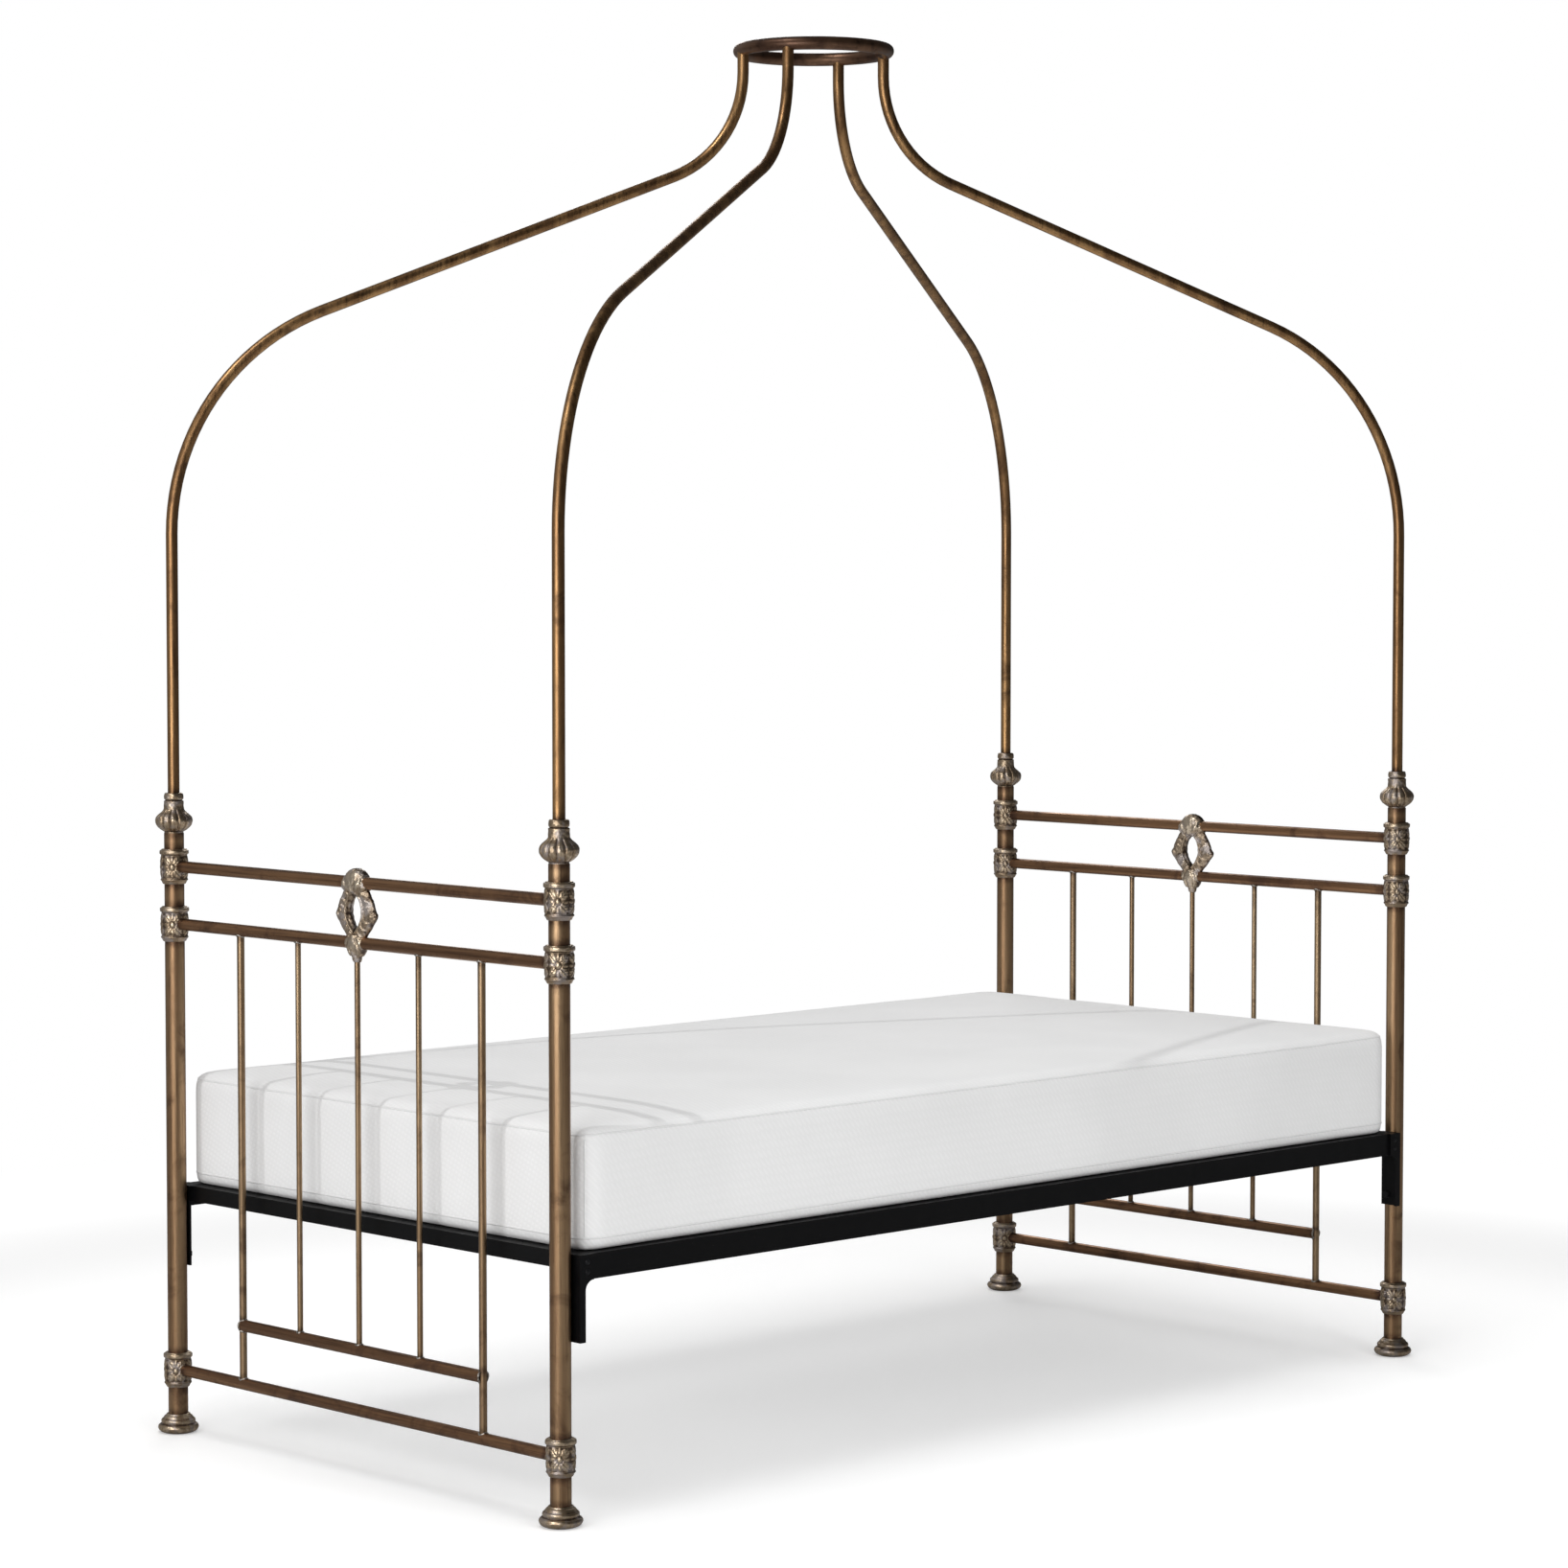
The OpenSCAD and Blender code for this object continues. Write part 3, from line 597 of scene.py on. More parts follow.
def finial(name, node, socket_floor):
    """A fluted bulb on the post under a collared neck, with the arm's socket in its top."""
    place, r, tall = measures(node, POST_TOP_Z)
    bead_r, neck_r, bore = 15.4 * MM, 16.0 * MM, ARM_R + SOCKET_GAP
    floor = socket_floor - POST_TOP_Z
    outside = rounded([
        (15.2 * MM, 0), (15.6 * MM, 1.0 * MM), (14.8 * MM, 1.9 * MM), (19.5 * MM, 4.4 * MM),
        (26 * MM, 9.4 * MM), (29.5 * MM, 15 * MM), (r - 0.1 * MM, 20.8 * MM), (29.2 * MM, 26 * MM),
        (25 * MM, 30.4 * MM), (19.8 * MM, 34.4 * MM), (17.2 * MM, 37.2 * MM),
        (neck_r + 0.2 * MM, 39.5 * MM), (neck_r - 0.2 * MM, 50 * MM), (neck_r + 0.1 * MM, 52 * MM),
        (13.4 * MM, 52.8 * MM), (13.6 * MM, 53.6 * MM), (bead_r, 54.6 * MM),
        (bead_r + 0.4 * MM, 58.5 * MM), (bead_r - 0.4 * MM, tall - 1.6 * MM), (13.6 * MM, tall),
        (bore, tall)])
    outline = np.concatenate([[(0, 0), (8 * MM, 0)], spaced(outside, 0.7 * MM),
                              [(bore, tall - 1 * MM), (bore, floor), (0, floor)]])
    lobes, groove_depth, vein_depth, lump_rise = 13, 2.6, 0.35, 0.24

    def carve(angle, radius, height):
        bulb = smooth_step(height, 2 * MM, 7 * MM) * (1 - smooth_step(height, 33 * MM, 41 * MM))
        bulb = bulb * (radius > bore + 1 * MM)
        lobe = np.abs(np.sin(angle * lobes / 2))
        groove = 1 - lobe ** 0.55
        lumps = cast_lumps(angle, radius, height, place, 7 * MM, 2) * (radius > bore + 1 * MM)
        vein = near_height(lobe, 1, 0.02) * bulb
        out = (-bulb * groove * groove_depth - vein * vein_depth + lumps * lump_rise) * MM
        out = np.minimum(out, r - radius)
        relief = 0.62 - bulb * groove * 0.6 + 0.12 * bulb - 0.2 * vein + lumps * 0.1
        relief -= 0.6 * near_height(height, 53 * MM, 1.3 * MM)
        relief -= 0.5 * near_height(height, 2.6 * MM, 1.6 * MM)
        return out, relief * (radius > bore + 0.3 * MM)

    made = lathe(name, outline, place, FINIAL_TURNS, carve, closed=False)
    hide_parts(node)
    return made


def foot(name, node):
    """A flanged cup that the post stands in; seat is the thickness of its floor."""
    place, r, tall = measures(node, 0)
    bore, seat = POST_R + BORE_GAP, 5 * MM
    outside = rounded([
        (r * 0.70, 0), (r * 0.76, 0.5 * MM), (r * 0.93, 3.2 * MM), (r - 0.1 * MM, 7.6 * MM), (r, 9.6 * MM),
        (r * 0.965, 12.6 * MM), (r * 0.88, 14.4 * MM), (r * 0.80, 15.2 * MM), (r * 0.835, 16.6 * MM),
        (r * 0.845, 19.5 * MM), (r * 0.82, 22.0 * MM), (r * 0.76, 22.8 * MM), (r * 0.74, 24.2 * MM),
        (r * 0.66, 27.6 * MM), (bore + 3.2 * MM, 28.8 * MM), (bore + 3.2 * MM, tall - 0.7 * MM),
        (bore + 2.2 * MM, tall), (bore, tall)])
    outline = np.concatenate([[(0, 0), (r * 0.4, 0)], spaced(outside, 0.8 * MM),
                              [(bore, tall - 1 * MM), (bore, seat), (0, seat)]])

    def carve(angle, radius, height):
        lumps = cast_lumps(angle, radius, height, place, 8 * MM, 3)
        lumps = lumps * (radius > bore + 1 * MM) * (height > 1 * MM)
        out = np.minimum(lumps * 0.12 * MM, r - radius)
        relief = 0.66 + 0.1 * lumps
        # The dips at 15 and 23.2 mm darken the foot's grooves; the dip at its base is a painted contact
        # shadow where it stands on the floor.
        for at, wide, much in ((15 * MM, 1.6 * MM, 0.6), (23.2 * MM, 1.2 * MM, 0.4), (0, 2.5 * MM, 0.4)):
            relief = relief - much * near_height(height, at, wide)
        return out, relief * (radius > bore + 0.3 * MM)

    made = lathe(name, outline, place, FOOT_TURNS, carve, closed=False)
    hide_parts(node)
    return made


def limb(points, radii, depths):
    """A bar in the panel's plane, in millimetres: points are (y, z), radii its half widths there and
    depths its half thicknesses."""
    line = rounded([(0, y, z) for y, z in points])
    grown = np.linspace(0, 1, len(line))
    given = np.linspace(0, 1, len(radii))
    wide = np.interp(grown, given, radii)
    deep = np.interp(grown, given, depths)
    tangent, _, _ = frames_along(line, (1, 0, 0))
    across = np.cross(tangent, (1.0, 0, 0))
    rows = []
    around = np.linspace(0, 2 * math.pi, LIMB_SIDES, endpoint=False)
    for p, s, w, d in zip(line, across, wide, deep):
        rows += [p + s * (w * math.cos(t)) + np.array((1.0, 0, 0)) * (d * math.sin(t)) for t in around]
    faces = ring_faces(len(line), LIMB_SIDES, False, True)
    close_ends(rows, faces, line, LIMB_SIDES)
    return [np.asarray(v) * MM for v in rows], faces


def ball(y, z, wide, tall, deep):
    """A rounded lump of the casting, in millimetres; wide, tall and deep are half sizes."""
    rows, steps = [], BALL_STEPS
    for i in range(1, steps):
        tilt = math.pi * i / steps
        for j in range(2 * steps):
            turn = math.pi * j / steps
            rows.append((deep * math.sin(tilt) * math.cos(turn), y + wide * math.sin(tilt) * math.sin(turn),
                         z + tall * math.cos(tilt)))
    faces = ring_faces(steps - 1, 2 * steps, False, True)
    rows += [(0, y, z + tall), (0, y, z - tall)]
    top, bottom, base = len(rows) - 2, len(rows) - 1, (steps - 2) * 2 * steps
    for j in range(2 * steps):
        k = (j + 1) % (2 * steps)
        faces += [(top, j, k), (bottom, base + k, base + j)]
    return [np.array(v) * MM for v in rows], faces


def medallion_parts():
    """The open oval with two points, its leaf cap over the top rail and the tip below. All sizes are in
    millimetres, with Z up from half way between the two rails."""
    parts = []
    for s in (-1, 1):
        def arc(line, radii, depths):
            parts.append(limb([(s * y, z) for y, z in line], radii, depths))

        arc([(2, 39), (14, 33), (25, 19), (33.5, -3), (21, -20), (10, -35), (2, -44)],
            (10, 12, 12.5, 15.5, 13, 9.5, 8), (8, 7.4, 7, 6.4, 7, 7.5, 8.5))
        arc([(3, 31), (12, 27), (19.5, 13), (21, -2), (16.5, -15), (8.5, -25), (2, -31)],
            (3.2, 3.2, 3.2, 3.2, 3.0, 2.8, 2.8), (9.4, 9.2, 9.0, 8.8, 8.8, 8.8, 9.0))
        arc([(33, 4), (41, 0), (50.4, -4)], (9, 7, 0.7), (8.2, 6, 1.2))
        arc([(31, -14), (40, -9), (50, -4)], (7, 6, 0.7), (7.4, 5, 1.0))
        arc([(22, 17), (29, 20), (36, 17)], (3.5, 5, 1.5), (8.8, 9.4, 4))
        arc([(24, 6), (31, 10), (40, 9)], (3.5, 5, 1.5), (8.8, 9.2, 4))
        arc([(13, 27), (20, 30), (28, 27)], (3.5, 5, 1.5), (9, 9.6, 5))
        arc([(22, -12), (30, -15), (38, -13)], (3.5, 4.6, 1.5), (8.6, 9.0, 4))
        arc([(16, -20), (22, -26), (29, -26)], (3.2, 4.4, 1.5), (8.8, 9.2, 4))
        arc([(9, -29), (14, -35), (19, -37)], (3.2, 4.2, 1.5), (8.8, 9.4, 5))
        arc([(7, 34), (17, 45), (17, 58)], (8, 9, 4), (12, 16.5, 7))
        arc([(15, 33), (24, 40), (25, 50)], (5, 6, 3), (9, 12, 8))
        arc([(4, -42), (12, -53), (8, -67)], (7, 7.5, 2.5), (11.5, 12, 5.5))
        arc([(10, -38), (17, -46), (15, -57)], (5, 5.5, 2.5), (10, 11.5, 7))
        parts += [ball(s * 40.5, -3.5, 5.2, 5.2, 8.4), ball(s * 26, 40.5, 5.5, 5.5, 9.5),
                  ball(s * 19, -43, 4.6, 4.6, 9)]
    parts += [
        ball(-1, 48.5, 26, 20, 16.6),
        limb([(0, 31), (0, 48), (0, 68.5)], (7, 10, 5), (13, 18.2, 6)),
        ball(0, -46.5, 19, 15, 14),
        limb([(0, -34), (0, -50), (0, -64), (0, -76.5)], (9, 13, 9, 5.6), (11, 13.5, 8.5, 5.6)),
        limb([(0, -42), (0, -54), (0, -69)], (3, 4.6, 2.6), (14, 14.4, 7.8)),
    ]
    return parts


def medallion(name, node):
    """The medallion's lumps and bars melted into one casting, with veins and petals cut in its faces."""
    place = centre(node)
    middle_z = (TOP_RAIL_Z + MIDDLE_RAIL_Z) / 2
    vertices, faces = gather(medallion_parts())
    made = new_object(name, vertices, faces)
    remesh = made.modifiers.new("Union", "REMESH")
    remesh.mode = "VOXEL"
    remesh.voxel_size = CASTING_VOXEL
    applied(made)
    relax = made.modifiers.new("Relax", "SMOOTH")
    relax.iterations = 3
    applied(made)
    mesh = made.data
    points, normals = vertex_values(mesh, "co"), vertex_values(mesh, "normal")
    y, z = points[:, 1], points[:, 2]
    eye_drop, vein_depth, lump_rise, half_depth = 4 * MM, 0.6, 0.25, 13 * MM
    turn = np.arctan2(z + eye_drop, np.abs(y))
    reach = np.hypot(y, z + eye_drop)
    veins = np.sin(turn * 12 + reach * 210) * 0.6
    in_ring = (1 - smooth_step(np.abs(z), 36 * MM, 44 * MM))
    petals = np.abs(np.sin(np.arctan2(np.abs(y) + 1 * MM, np.abs(z) - 30 * MM) * 5.5)) ** 0.6
    cut = in_ring * veins * 0.5 + (1 - in_ring) * (petals - 0.5) * 1.1
    lumps = soft_noise(points[:, 0], y, z, 5 * MM, 4)
    front = smooth_step(np.abs(normals[:, 0]), 0.1, 0.5)
    push = (cut * vein_depth * front + lumps * lump_rise) * MM
    moved = points + normals * push[:, None]
    mesh.vertices.foreach_set("co", (moved + np.array((place.x, 0, middle_z))).reshape(-1))
    mesh.update()
    depth = np.abs(points[:, 0]) / half_depth
    # The relief is also lowered on the flank faces, those that look along the panel, as painted shade.
    set_relief(made, 0.42 + cut * 0.35 + (depth - 0.45) * 0.45 + lumps * 0.08 - 0.25 * (1 - front))
    shade_smooth(mesh)
    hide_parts(node)
    return made


# ---- Weld beads ----

def bead(place, bar_r, rail_r, up, thick):
    """A rough ring of solder where an upright bar meets a rail that runs along Y."""
    count = BEAD_POINTS
    draw = np.random.default_rng(SEED + int(abs(place[1]) * 1000) + int(place[2] * 1000))
    turn = np.linspace(0, 2 * math.pi, count, endpoint=False)
    x = (bar_r + thick * 0.3) * np.cos(turn)
    y = (bar_r + thick * 0.3) * np.sin(turn)
    z = np.sqrt(np.maximum(rail_r ** 2 - x ** 2, 0)) * up
    wobble = np.convolve(np.tile(draw.normal(0, 1, count), 3), np.ones(4) / 4, "same")[count:2 * count]
    line = np.stack([x, y, z + up * thick * 0.1], axis=1) + np.array(place)
    return swept(line, thick * (1 + 0.22 * wobble), BEAD_SIDES, (0, 0, 1), closed=True)


def end_bead(place, bar_r, other_r, thick):
    """A rough ring of solder where a rail's end along Y meets an upright bar."""
    turn = np.linspace(0, 2 * math.pi, BEAD_POINTS, endpoint=False)
    x = (bar_r + thick * 0.2) * np.cos(turn)
    z = (bar_r + thick * 0.2) * np.sin(turn)
    inward = -np.sign(place[1])
    y = np.sqrt(np.maximum(other_r ** 2 - np.minimum(np.abs(x), other_r) ** 2, 0)) * inward
    line = np.stack([x, y, z], axis=1) + np.array(place)
    lumpy = 1 + 0.15 * np.sin(turn * 5 + place[1] * 40)
    return swept(line, thick * lumpy, BEAD_SIDES, (0, 1, 0), closed=True)


def bar_places(node):
    """Y of each upright bar in a node of several, and the bars' radius."""
    ys = sorted({round(v.co.y, 4) for v in NODES[node].data.vertices})
    groups = [[ys[0]]]
    for y in ys[1:]:
        if y - groups[-1][-1] > 20 * MM:
            groups.append([])
        groups[-1].append(y)
    return [(g[0] + g[-1]) / 2 for g in groups], (groups[0][-1] - groups[0][0]) / 2


def weld_beads(side):
    """All the beads of one end panel. The middle spindle's upper end is under the medallion."""
    x = centre(f"top_rail_{side}").x
    outer, outer_r = bar_places(f"outer_spindles_{side}")
    inner, inner_r = bar_places(f"inner_spindles_{side}")
    thick = 1.5 * MM
    parts = []
    for y in outer:
        parts += [bead((x, y, BOTTOM_RAIL_Z), outer_r, RAIL_R, 1, thick),
                  bead((x, y, MIDDLE_RAIL_Z), outer_r, RAIL_R, -1, thick),
                  end_bead((x, y, SHORT_RAIL_Z), RAIL_R, outer_r, thick)]
    for y in inner:
        parts.append(bead((x, y, SHORT_RAIL_Z), inner_r, RAIL_R, 1, thick))
        if abs(y) > 10 * MM:
            parts.append(bead((x, y, MIDDLE_RAIL_Z), inner_r, RAIL_R, -1, thick))
    vertices, faces = gather(parts)
    made = new_object(f"weld_beads_{side}", vertices, faces)
    weld(made)
    return made


# ---- Springs of the mesh deck ----

def islands(node):
    """The boxes of a node's separate solids."""
    grown = bmesh.new()
    grown.from_mesh(NODES[node].data)
    bmesh.ops.remove_doubles(grown, verts=grown.verts, dist=1e-5)
    left, boxes = set(grown.verts), []
    while left:
        found, edge = set(), [left.pop()]
        while edge:
            v = edge.pop()
            found.add(v)
            for e in v.link_edges:
                other = e.other_vert(v)
                if other in left:
                    left.discard(other)
                    edge.append(other)
        co = np.array([v.co for v in found])
        boxes.append((co.min(0), co.max(0)))
    grown.free()
    return sorted(boxes, key=lambda b: tuple(np.round(b[0] + b[1], 4)))


def spring(box):
    """One tension spring along its box's longer level side, with a hook up through the deck angle."""
    low, high = box
    middle = (low + high) / 2
    along = 0 if high[0] - low[0] > high[1] - low[1] else 1
    outward = 1 if middle[along] > 0 else -1
    outer = high[along] if outward > 0 else low[along]
    inner = low[along] if outward > 0 else high[along]
    pin = outer - outward * HOOK_INSET
    coil_r = (high[1 - along] - low[1 - along]) / 2 - SPRING_WIRE_R
    axis_z = low[2] + coil_r + SPRING_WIRE_R
    start, end = pin - outward * HOOK_LENGTH, inner + outward * 1.5 * MM
    count = SPRING_TURNS * 20
    t = np.linspace(0, 1, count)
    turn = t * SPRING_TURNS * 2 * math.pi
    coil = np.zeros((count, 3))
    coil[:, along] = start + (end - start) * t
    coil[:, 1 - along] = middle[1 - along] + coil_r * np.sin(turn)
    coil[:, 2] = axis_z + coil_r * np.cos(turn)

    def at(a, z):
        point = np.zeros(3)
        point[along], point[1 - along], point[2] = a, middle[1 - along], z
        return point

    lead = [at(pin, high[2] - 0.5 * MM), at(pin, axis_z + 3 * MM), at(pin - outward * 2 * MM, axis_z),
            at(start + outward * 3 * MM, axis_z), coil[0]]
    tail = [coil[-1], at(end - outward * 0.2 * MM, axis_z + coil_r * 0.4),
            at(end - outward * 0.5 * MM, axis_z)]
    lead, tail = spaced(rounded(lead), 2 * MM), spaced(rounded(tail), 2 * MM)
    line = np.concatenate([lead[:-1], coil, tail[1:]])
    never_along = (0.31, 0.27, 0.91)
    return swept(line, SPRING_WIRE_R, 8, never_along)


def springs(name, node):
    made = new_object(name, *gather(spring(box) for box in islands(node)))
    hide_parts(node)
    return made


# ---- Mattress ----

def rounded_block(low, high, corner, top_edge, base_edge, step):
    """A block with rounded upright corners and rounded top and bottom edges."""
    grown = bmesh.new()
    size = high - low
    counts = [max(int(round(s / step)), 2) for s in size]
    bmesh.ops.create_cube(grown, size=1.0)
    for axis, n in enumerate(counts):
        for cut in range(1, n):
            way = Vector([axis == k for k in range(3)])
            geometry = grown.verts[:] + grown.edges[:] + grown.faces[:]
            bmesh.ops.bisect_plane(grown, geom=geometry, plane_co=way * (cut / n - 0.5), plane_no=way,
                                   dist=1e-6)
    middle = (low + high) / 2
    for v in grown.verts:
        p = Vector(v.co[k] * size[k] for k in range(3))
        half = size / 2
        core = Vector((max(min(p.x, half.x - corner), corner - half.x),
                       max(min(p.y, half.y - corner), corner - half.y), 0))
        flat = Vector((p.x, p.y, 0)) - core
        reach = flat.length
        box_reach = max(abs(flat.x), abs(flat.y))
        if box_reach > 1e-9:
            flat = flat / reach * box_reach
        p.x, p.y = core.x + flat.x, core.y + flat.y
        if reach > 1e-9:
            out = flat.length
            edge = top_edge if p.z > 0 else base_edge
            rim = Vector((out - (corner - edge), abs(p.z) - (half.z - edge)))
            if rim.x > 0 and rim.y > 0:
                span = max(rim.x, rim.y)
                rim = rim / rim.length * span
                flat = flat / out * (corner - edge + rim.x)
                p.x, p.y = core.x + flat.x, core.y + flat.y
                p.z = math.copysign(half.z - edge + rim.y, p.z)
        v.co = middle + p
    mesh = bpy.data.meshes.new("block")
    grown.to_mesh(mesh)
    grown.free()
    return mesh


def simulate_swell(obj):
    """Cloth blown up gently from inside, as a filled cover is; returns the swollen points."""
    scene = bpy.context.scene
    cloth = obj.modifiers.new("Cloth", "CLOTH")
    cloth.settings.use_pressure = True
    cloth.settings.uniform_pressure_force = SWELL_PRESSURE
    cloth.settings.quality = 5
    cloth.settings.mass = 0.4
    cloth.settings.tension_stiffness = 40
    cloth.settings.compression_stiffness = 40
    cloth.settings.bending_stiffness = 4
    cloth.settings.effector_weights.gravity = 0
    cloth.point_cache.frame_start, cloth.point_cache.frame_end = 1, SWELL_FRAMES
    for number in range(1, SWELL_FRAMES + 1):
        scene.frame_set(number)
    graph = bpy.context.evaluated_depsgraph_get()
    points = vertex_values(obj.evaluated_get(graph).to_mesh(), "co")
    obj.evaluated_get(graph).to_mesh_clear()
    obj.modifiers.clear()
    scene.frame_set(1)
    return points


def capped(rest, swollen):
    """The swollen points, none of them more than the cap from where it started."""
    move = swollen - rest
    size = np.linalg.norm(move, axis=1)
    allowed = SWELL_CAP * np.tanh(size / SWELL_CAP)
    limit = np.where(size > 1e-9, np.minimum(1, allowed / np.maximum(size, 1e-9)), 0)
    return rest + move * limit[:, None]


def mattress(name, node):
    """The filled cover: flat where it lies on the deck, its sides swollen and its top slightly crowned."""
    low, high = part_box(node)
    slim = Vector((COVER_SLIM, COVER_SLIM, 0))
    base_low, base_high = low + slim, high - slim - Vector((0, 0, COVER_LOW))
    mesh = rounded_block(base_low, base_high, COVER_CORNER, COVER_TOP_EDGE, COVER_BASE_EDGE, COVER_STEP)
    made = in_scene(name, mesh)
    rest = vertex_values(mesh, "co")
    points = capped(rest, simulate_swell(made))
    middle, half = (rest.min(0) + rest.max(0)) / 2, (rest.max(0) - rest.min(0)) / 2
    part = (points - middle) / half
    crown = np.clip(1 - part[:, 0] ** 4, 0, 1) * np.clip(1 - part[:, 1] ** 4, 0, 1)
    points[:, 2] += CROWN_RISE * crown * (part[:, 2] > 0.9)
    points[:, 2] = np.maximum(points[:, 2], low.z)
    points[:, 2] = np.where(rest[:, 2] < low.z + 1 * MM, low.z, points[:, 2])
    mesh.vertices.foreach_set("co", points.reshape(-1))
    mesh.update()
    smooth = made.modifiers.new("Smooth", "SUBSURF")
    smooth.levels = smooth.render_levels = 1
    applied(made)
    shade_smooth(made.data)
    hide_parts(node)
    return made


def laid_seam(cover, line, sink):
    """A line laid on the cover, sunk a little into it."""
    graph = bpy.context.evaluated_depsgraph_get()
    tree = BVHTree.FromObject(cover, graph)
    laid = []
    for p in line:
        spot, normal, _, _ = tree.find_nearest(Vector(p))
        laid.append(np.array(spot - normal * sink))
    return laid


def rim_line(low, high, corner, z, step):
    """Points round a rounded rectangle at one height."""
    line = []
    for sx, sy, start in ((1, 1, 0), (-1, 1, 90), (-1, -1, 180), (1, -1, 270)):
        mid_x = (high.x - corner) if sx > 0 else (low.x + corner)
        mid_y = (high.y - corner) if sy > 0 else (low.y + corner)
        for degrees in range(0, 91, 9):
            t = math.radians(start + degrees)
            line.append((mid_x + corner * math.cos(t), mid_y + corner * math.sin(t), z))
    return spaced(line + [line[0]], step)[:-1]


def mattress_seams(cover, node):
    """Tape seams round the top and the base, and one up the near corner, where the border is joined."""
    low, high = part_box(node)
    parts = []
    for z in (high.z - 11 * MM, low.z + 19 * MM):
        rim = rim_line(low, high, RIM_SEAM_CORNER, z, RIM_SEAM_STEP)
        parts.append(swept(laid_seam(cover, rim, 1.0 * MM), RIM_SEAM_R, 8, (0, 0, 1), closed=True))
    x, y = low.x + 13 * MM, low.y + 13 * MM
    upright = [(x, y, z) for z in np.linspace(low.z + 20 * MM, high.z - 22 * MM, 30)]
    parts.append(swept(laid_seam(cover, upright, 0.7 * MM), CORNER_SEAM_R, 8, (1, -1, 0)))
    return new_object("mattress_seams", *gather(parts))


# ---- Light, floor and camera ----

def softbox(name, place, aim, size, power, shines):
    """A rectangular area light, in metres and watts. Metal reflects it if it shines."""
    light = bpy.data.lights.new(name, "AREA")
    light.shape = "RECTANGLE"
    light.size, light.size_y = size
    light.energy = power
    made = in_scene(name, light)
    made.visible_glossy = shines
    made.location = place
    made.rotation_euler = (Vector(aim) - Vector(place)).to_track_quat("-Z", "Y").to_euler()
    return made


def lights_only(light, obj, but=False):
    """Keeps a light to one object, or to everything but it. All pieces still cast their shadows."""
    lit = bpy.data.collections.new(light.name + "_lit")
    lit.objects.link(obj)
    lit.collection_objects[0].light_linking.link_state = "EXCLUDE" if but else "INCLUDE"
    light.light_linking.receiver_collection = lit


def sun(name, travel, strength, blur):
    """Parallel light along a direction; blur, in degrees, softens its shadows."""
    light = bpy.data.lights.new(name, "SUN")
    light.energy = strength
    light.angle = math.radians(blur)
    made = in_scene(name, light)
    made.rotation_euler = Vector(travel).to_track_quat("-Z", "Y").to_euler()
    return made


def backdrop(fill, gloss, high_gloss, lit_way):
    """White for the camera, grey for the light that the surroundings give. Reflections see a dark
    room that is lighter the one way."""
    world = bpy.data.worlds.new("Studio")
    bpy.context.scene.world = world
    world.use_nodes = True
    tree = world.node_tree
    tree.nodes.clear()
    add, link = tree.nodes.new, tree.links.new
    ray = add("ShaderNodeLightPath")
    way = add("ShaderNodeTexCoord")
    toward = add("ShaderNodeVectorMath")
    toward.operation = "DOT_PRODUCT"
    toward.inputs[1].default_value = Vector(lit_way).normalized()
    link(way.outputs["Generated"], toward.inputs[0])
    room = add("ShaderNodeMapRange")
    set_inputs(room, From_Min=0.0, From_Max=0.8, To_Min=gloss, To_Max=high_gloss)
    link(toward.outputs["Value"], room.inputs["Value"])
    shades = []
    for strength in (fill, gloss, 1.0):
        shade = add("ShaderNodeBackground")
        set_inputs(shade, Strength=strength, Color=(1, 1, 1, 1))
        shades.append(shade.outputs[0])
    link(room.outputs["Result"], shades[1].node.inputs["Strength"])
    current = shades[0]
    for switch, shade in (("Is Glossy Ray", shades[1]), ("Is Camera Ray", shades[2])):
        choose = add("ShaderNodeMixShader")
        link(ray.outputs[switch], choose.inputs[0])
        link(current, choose.inputs[1])
        link(shade, choose.inputs[2])
        current = choose.outputs[0]
    link(current, add("ShaderNodeOutputWorld").inputs["Surface"])


def make_camera():
    """Stands at eye height off the near corner, and looks a little down."""
    lens = bpy.data.cameras.new("Camera")
    lens.sensor_width = SENSOR_WIDTH
    lens.lens = FOCAL_LENGTH
    lens.clip_end = 200
    made = in_scene("Camera", lens)
    made.location = CAMERA_PLACE
    made.rotation_euler = (math.radians(90 + CAMERA_TILT), 0, math.radians(CAMERA_PAN - 90))
    bpy.context.scene.camera = made


def make_floor():
    """A wide plane a hair below the feet."""
    half, count, sunk = 30.0, 30, 0.0002
    xs = np.linspace(-half, half, count)
    vertices = [(x, y, -sunk) for x in xs for y in xs]
    made = new_object("floor", vertices, ring_faces(count, count, False, False))
    made.data.materials.append(floor_paint("floor_paint", glow=0.32, near=1.6, far=3.2))
    made.data.flip_normals()
    return made


# ---- Putting it together ----

def dress(obj, paint, body=None):
    """Gives a piece its material; a new piece also gets its slot and the body it rides on."""
    obj.data.materials.clear()
    obj.data.materials.append(paint)
    if body:
        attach(obj, body)


def light_stage():
    floor = make_floor()
    backdrop(fill=0.38, gloss=0.05, high_gloss=0.30, lit_way=(-0.65, 0.6, 0.25))
    for settings in SOFTBOXES:
        softbox(*settings)
    lights_only(softbox(*FLOOR_SOFTBOX), floor)
    lights_only(sun("sun", SUN_TRAVEL, SUN_STRENGTH, SUN_BLUR), floor, but=True)
    bpy.context.scene.view_settings.view_transform = "Standard"


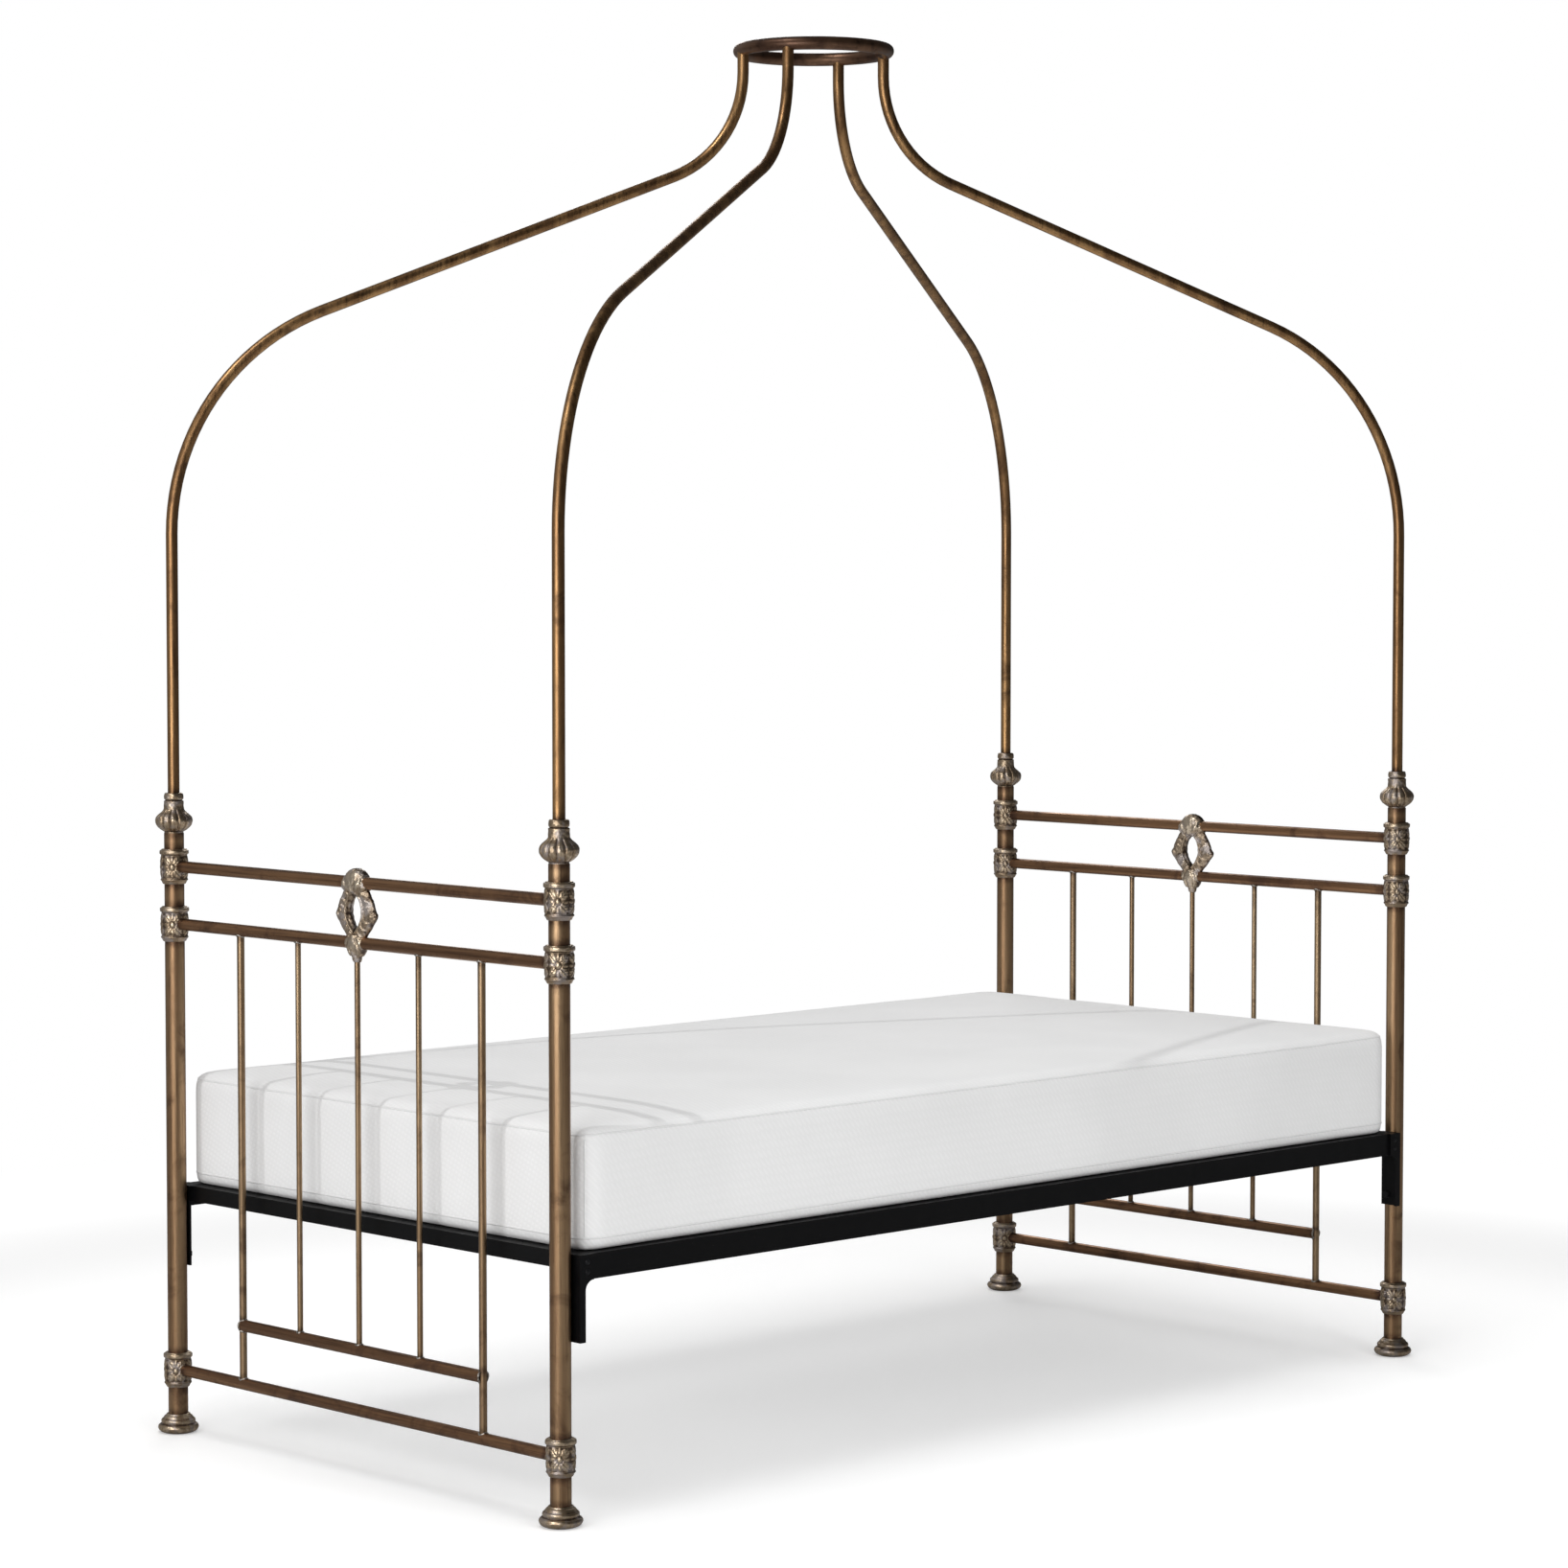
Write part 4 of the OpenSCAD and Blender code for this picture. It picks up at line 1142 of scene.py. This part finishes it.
def build():
    make_camera()
    light_stage()

    # Heights and ends where parts meet; the metal gets bands of painted shade there.
    joint_heights = [POST_TOP_Z, highest("foot_left_front")]
    for level in LEVELS:
        low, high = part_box(f"{level}_collar_left_front")
        joint_heights += [low.z, high.z]
    bar_ends = [MIDDLE_RAIL_Z - RAIL_R, SHORT_RAIL_Z + RAIL_R, BOTTOM_RAIL_Z + RAIL_R]
    rail_ends = [s * (centre("post_left_back").y - 23 * MM) for s in (-1, 1)]
    tube = rubbed_metal("antique_brass_tube_paint", TUBE_TONES, (420, 420, 9), ("Z", joint_heights, 14 * MM))
    spindle = rubbed_metal("spindle_paint", SPINDLE_TONES, (420, 420, 9), ("Z", bar_ends, 12 * MM))
    rail = rubbed_metal("bronzed_rail_paint", RAIL_TONES, (420, 9, 420), ("Y", rail_ends, 16 * MM))
    arm = rubbed_metal("bronzed_arm_paint", ARM_TONES, (240, 240, 10),
                       ("Z", [highest("finial_left_front")], 14 * MM))
    ring = rubbed_metal("dark_bronze_ring_paint", RING_TONES, (60, 60, 60))
    casting = cast_metal("aged_brass_casting_paint", CASTING_TONES)
    medal = cast_metal("aged_brass_medallion_paint", MEDALLION_TONES)
    deck = enamel("black_deck_paint", (0.0022, 0.0022, 0.0026), (0.03, 0.028, 0.026), (0.38, 0.55))
    fastener = enamel("dark_fastener_paint", (0.007, 0.007, 0.008), (0.10, 0.09, 0.08), (0.3, 0.45))
    wire = speckled_metal("mesh_wire_paint", 120.0, (0.35, 0.7), ZINC_TONES, (0.24, 0.42), (0.0001, 0.4))

    def cast(piece, paint=casting):
        dress(piece, paint, "bedstead")

    for corner in CORNERS:
        dress(NODES[f"post_{corner}"], tube)
        dress(NODES[f"arm_{corner}"], arm)
        dress(NODES[f"bracket_{corner}"], deck)
        socket_floor = lowest(f"arm_{corner}") - SOCKET_GAP
        cast(finial(f"cast_finial_{corner}", f"finial_{corner}", socket_floor))
        cast(foot(f"cast_foot_{corner}", f"foot_{corner}"))
        for level in LEVELS:
            cast(collar(f"cast_{level}_collar_{corner}", f"{level}_collar_{corner}"))
    for side in SIDES:
        for name in ("top_rail", "middle_rail", "bottom_rail", "short_rail"):
            dress(NODES[f"{name}_{side}"], rail)
        dress(NODES[f"outer_spindles_{side}"], spindle)
        dress(NODES[f"inner_spindles_{side}"], spindle)
        dress(NODES[f"end_angle_{side}"], deck)
        cast(medallion(f"cast_medallion_{side}", f"medallion_{side}"), medal)
        cast(weld_beads(side), speckled_metal(f"solder_{side}", 420.0, (0.36, 0.64), SOLDER_TONES,
                                              (0.3, 0.5), (0.0003, 0.6)))
    for end in ENDS:
        dress(NODES[f"side_angle_{end}"], deck)
    for node, paint in (("bracket_rivets", fastener), ("corner_bolts", fastener), ("mesh_long_wires", wire),
                        ("mesh_cross_wires", wire), ("crown_ring", ring)):
        dress(NODES[node], paint)
    for edge in ("end", "side"):
        dress(springs(f"{edge}_springs", f"mesh_{edge}_coils"), wire, "bedstead")

    cover = mattress("knitted_mattress", "mattress")
    dress(cover, knitted_cover("mattress_cover_paint", 0.84, 0.875), "mattress")
    seams = mattress_seams(cover, "mattress")
    # The tape is greyer than the cover partly as painted shade, drawing soft grey lines along the cover's
    # edges.
    dress(seams, knitted_cover("seam_tape_and_shade_paint", 0.76, 0.80), "mattress")


build()
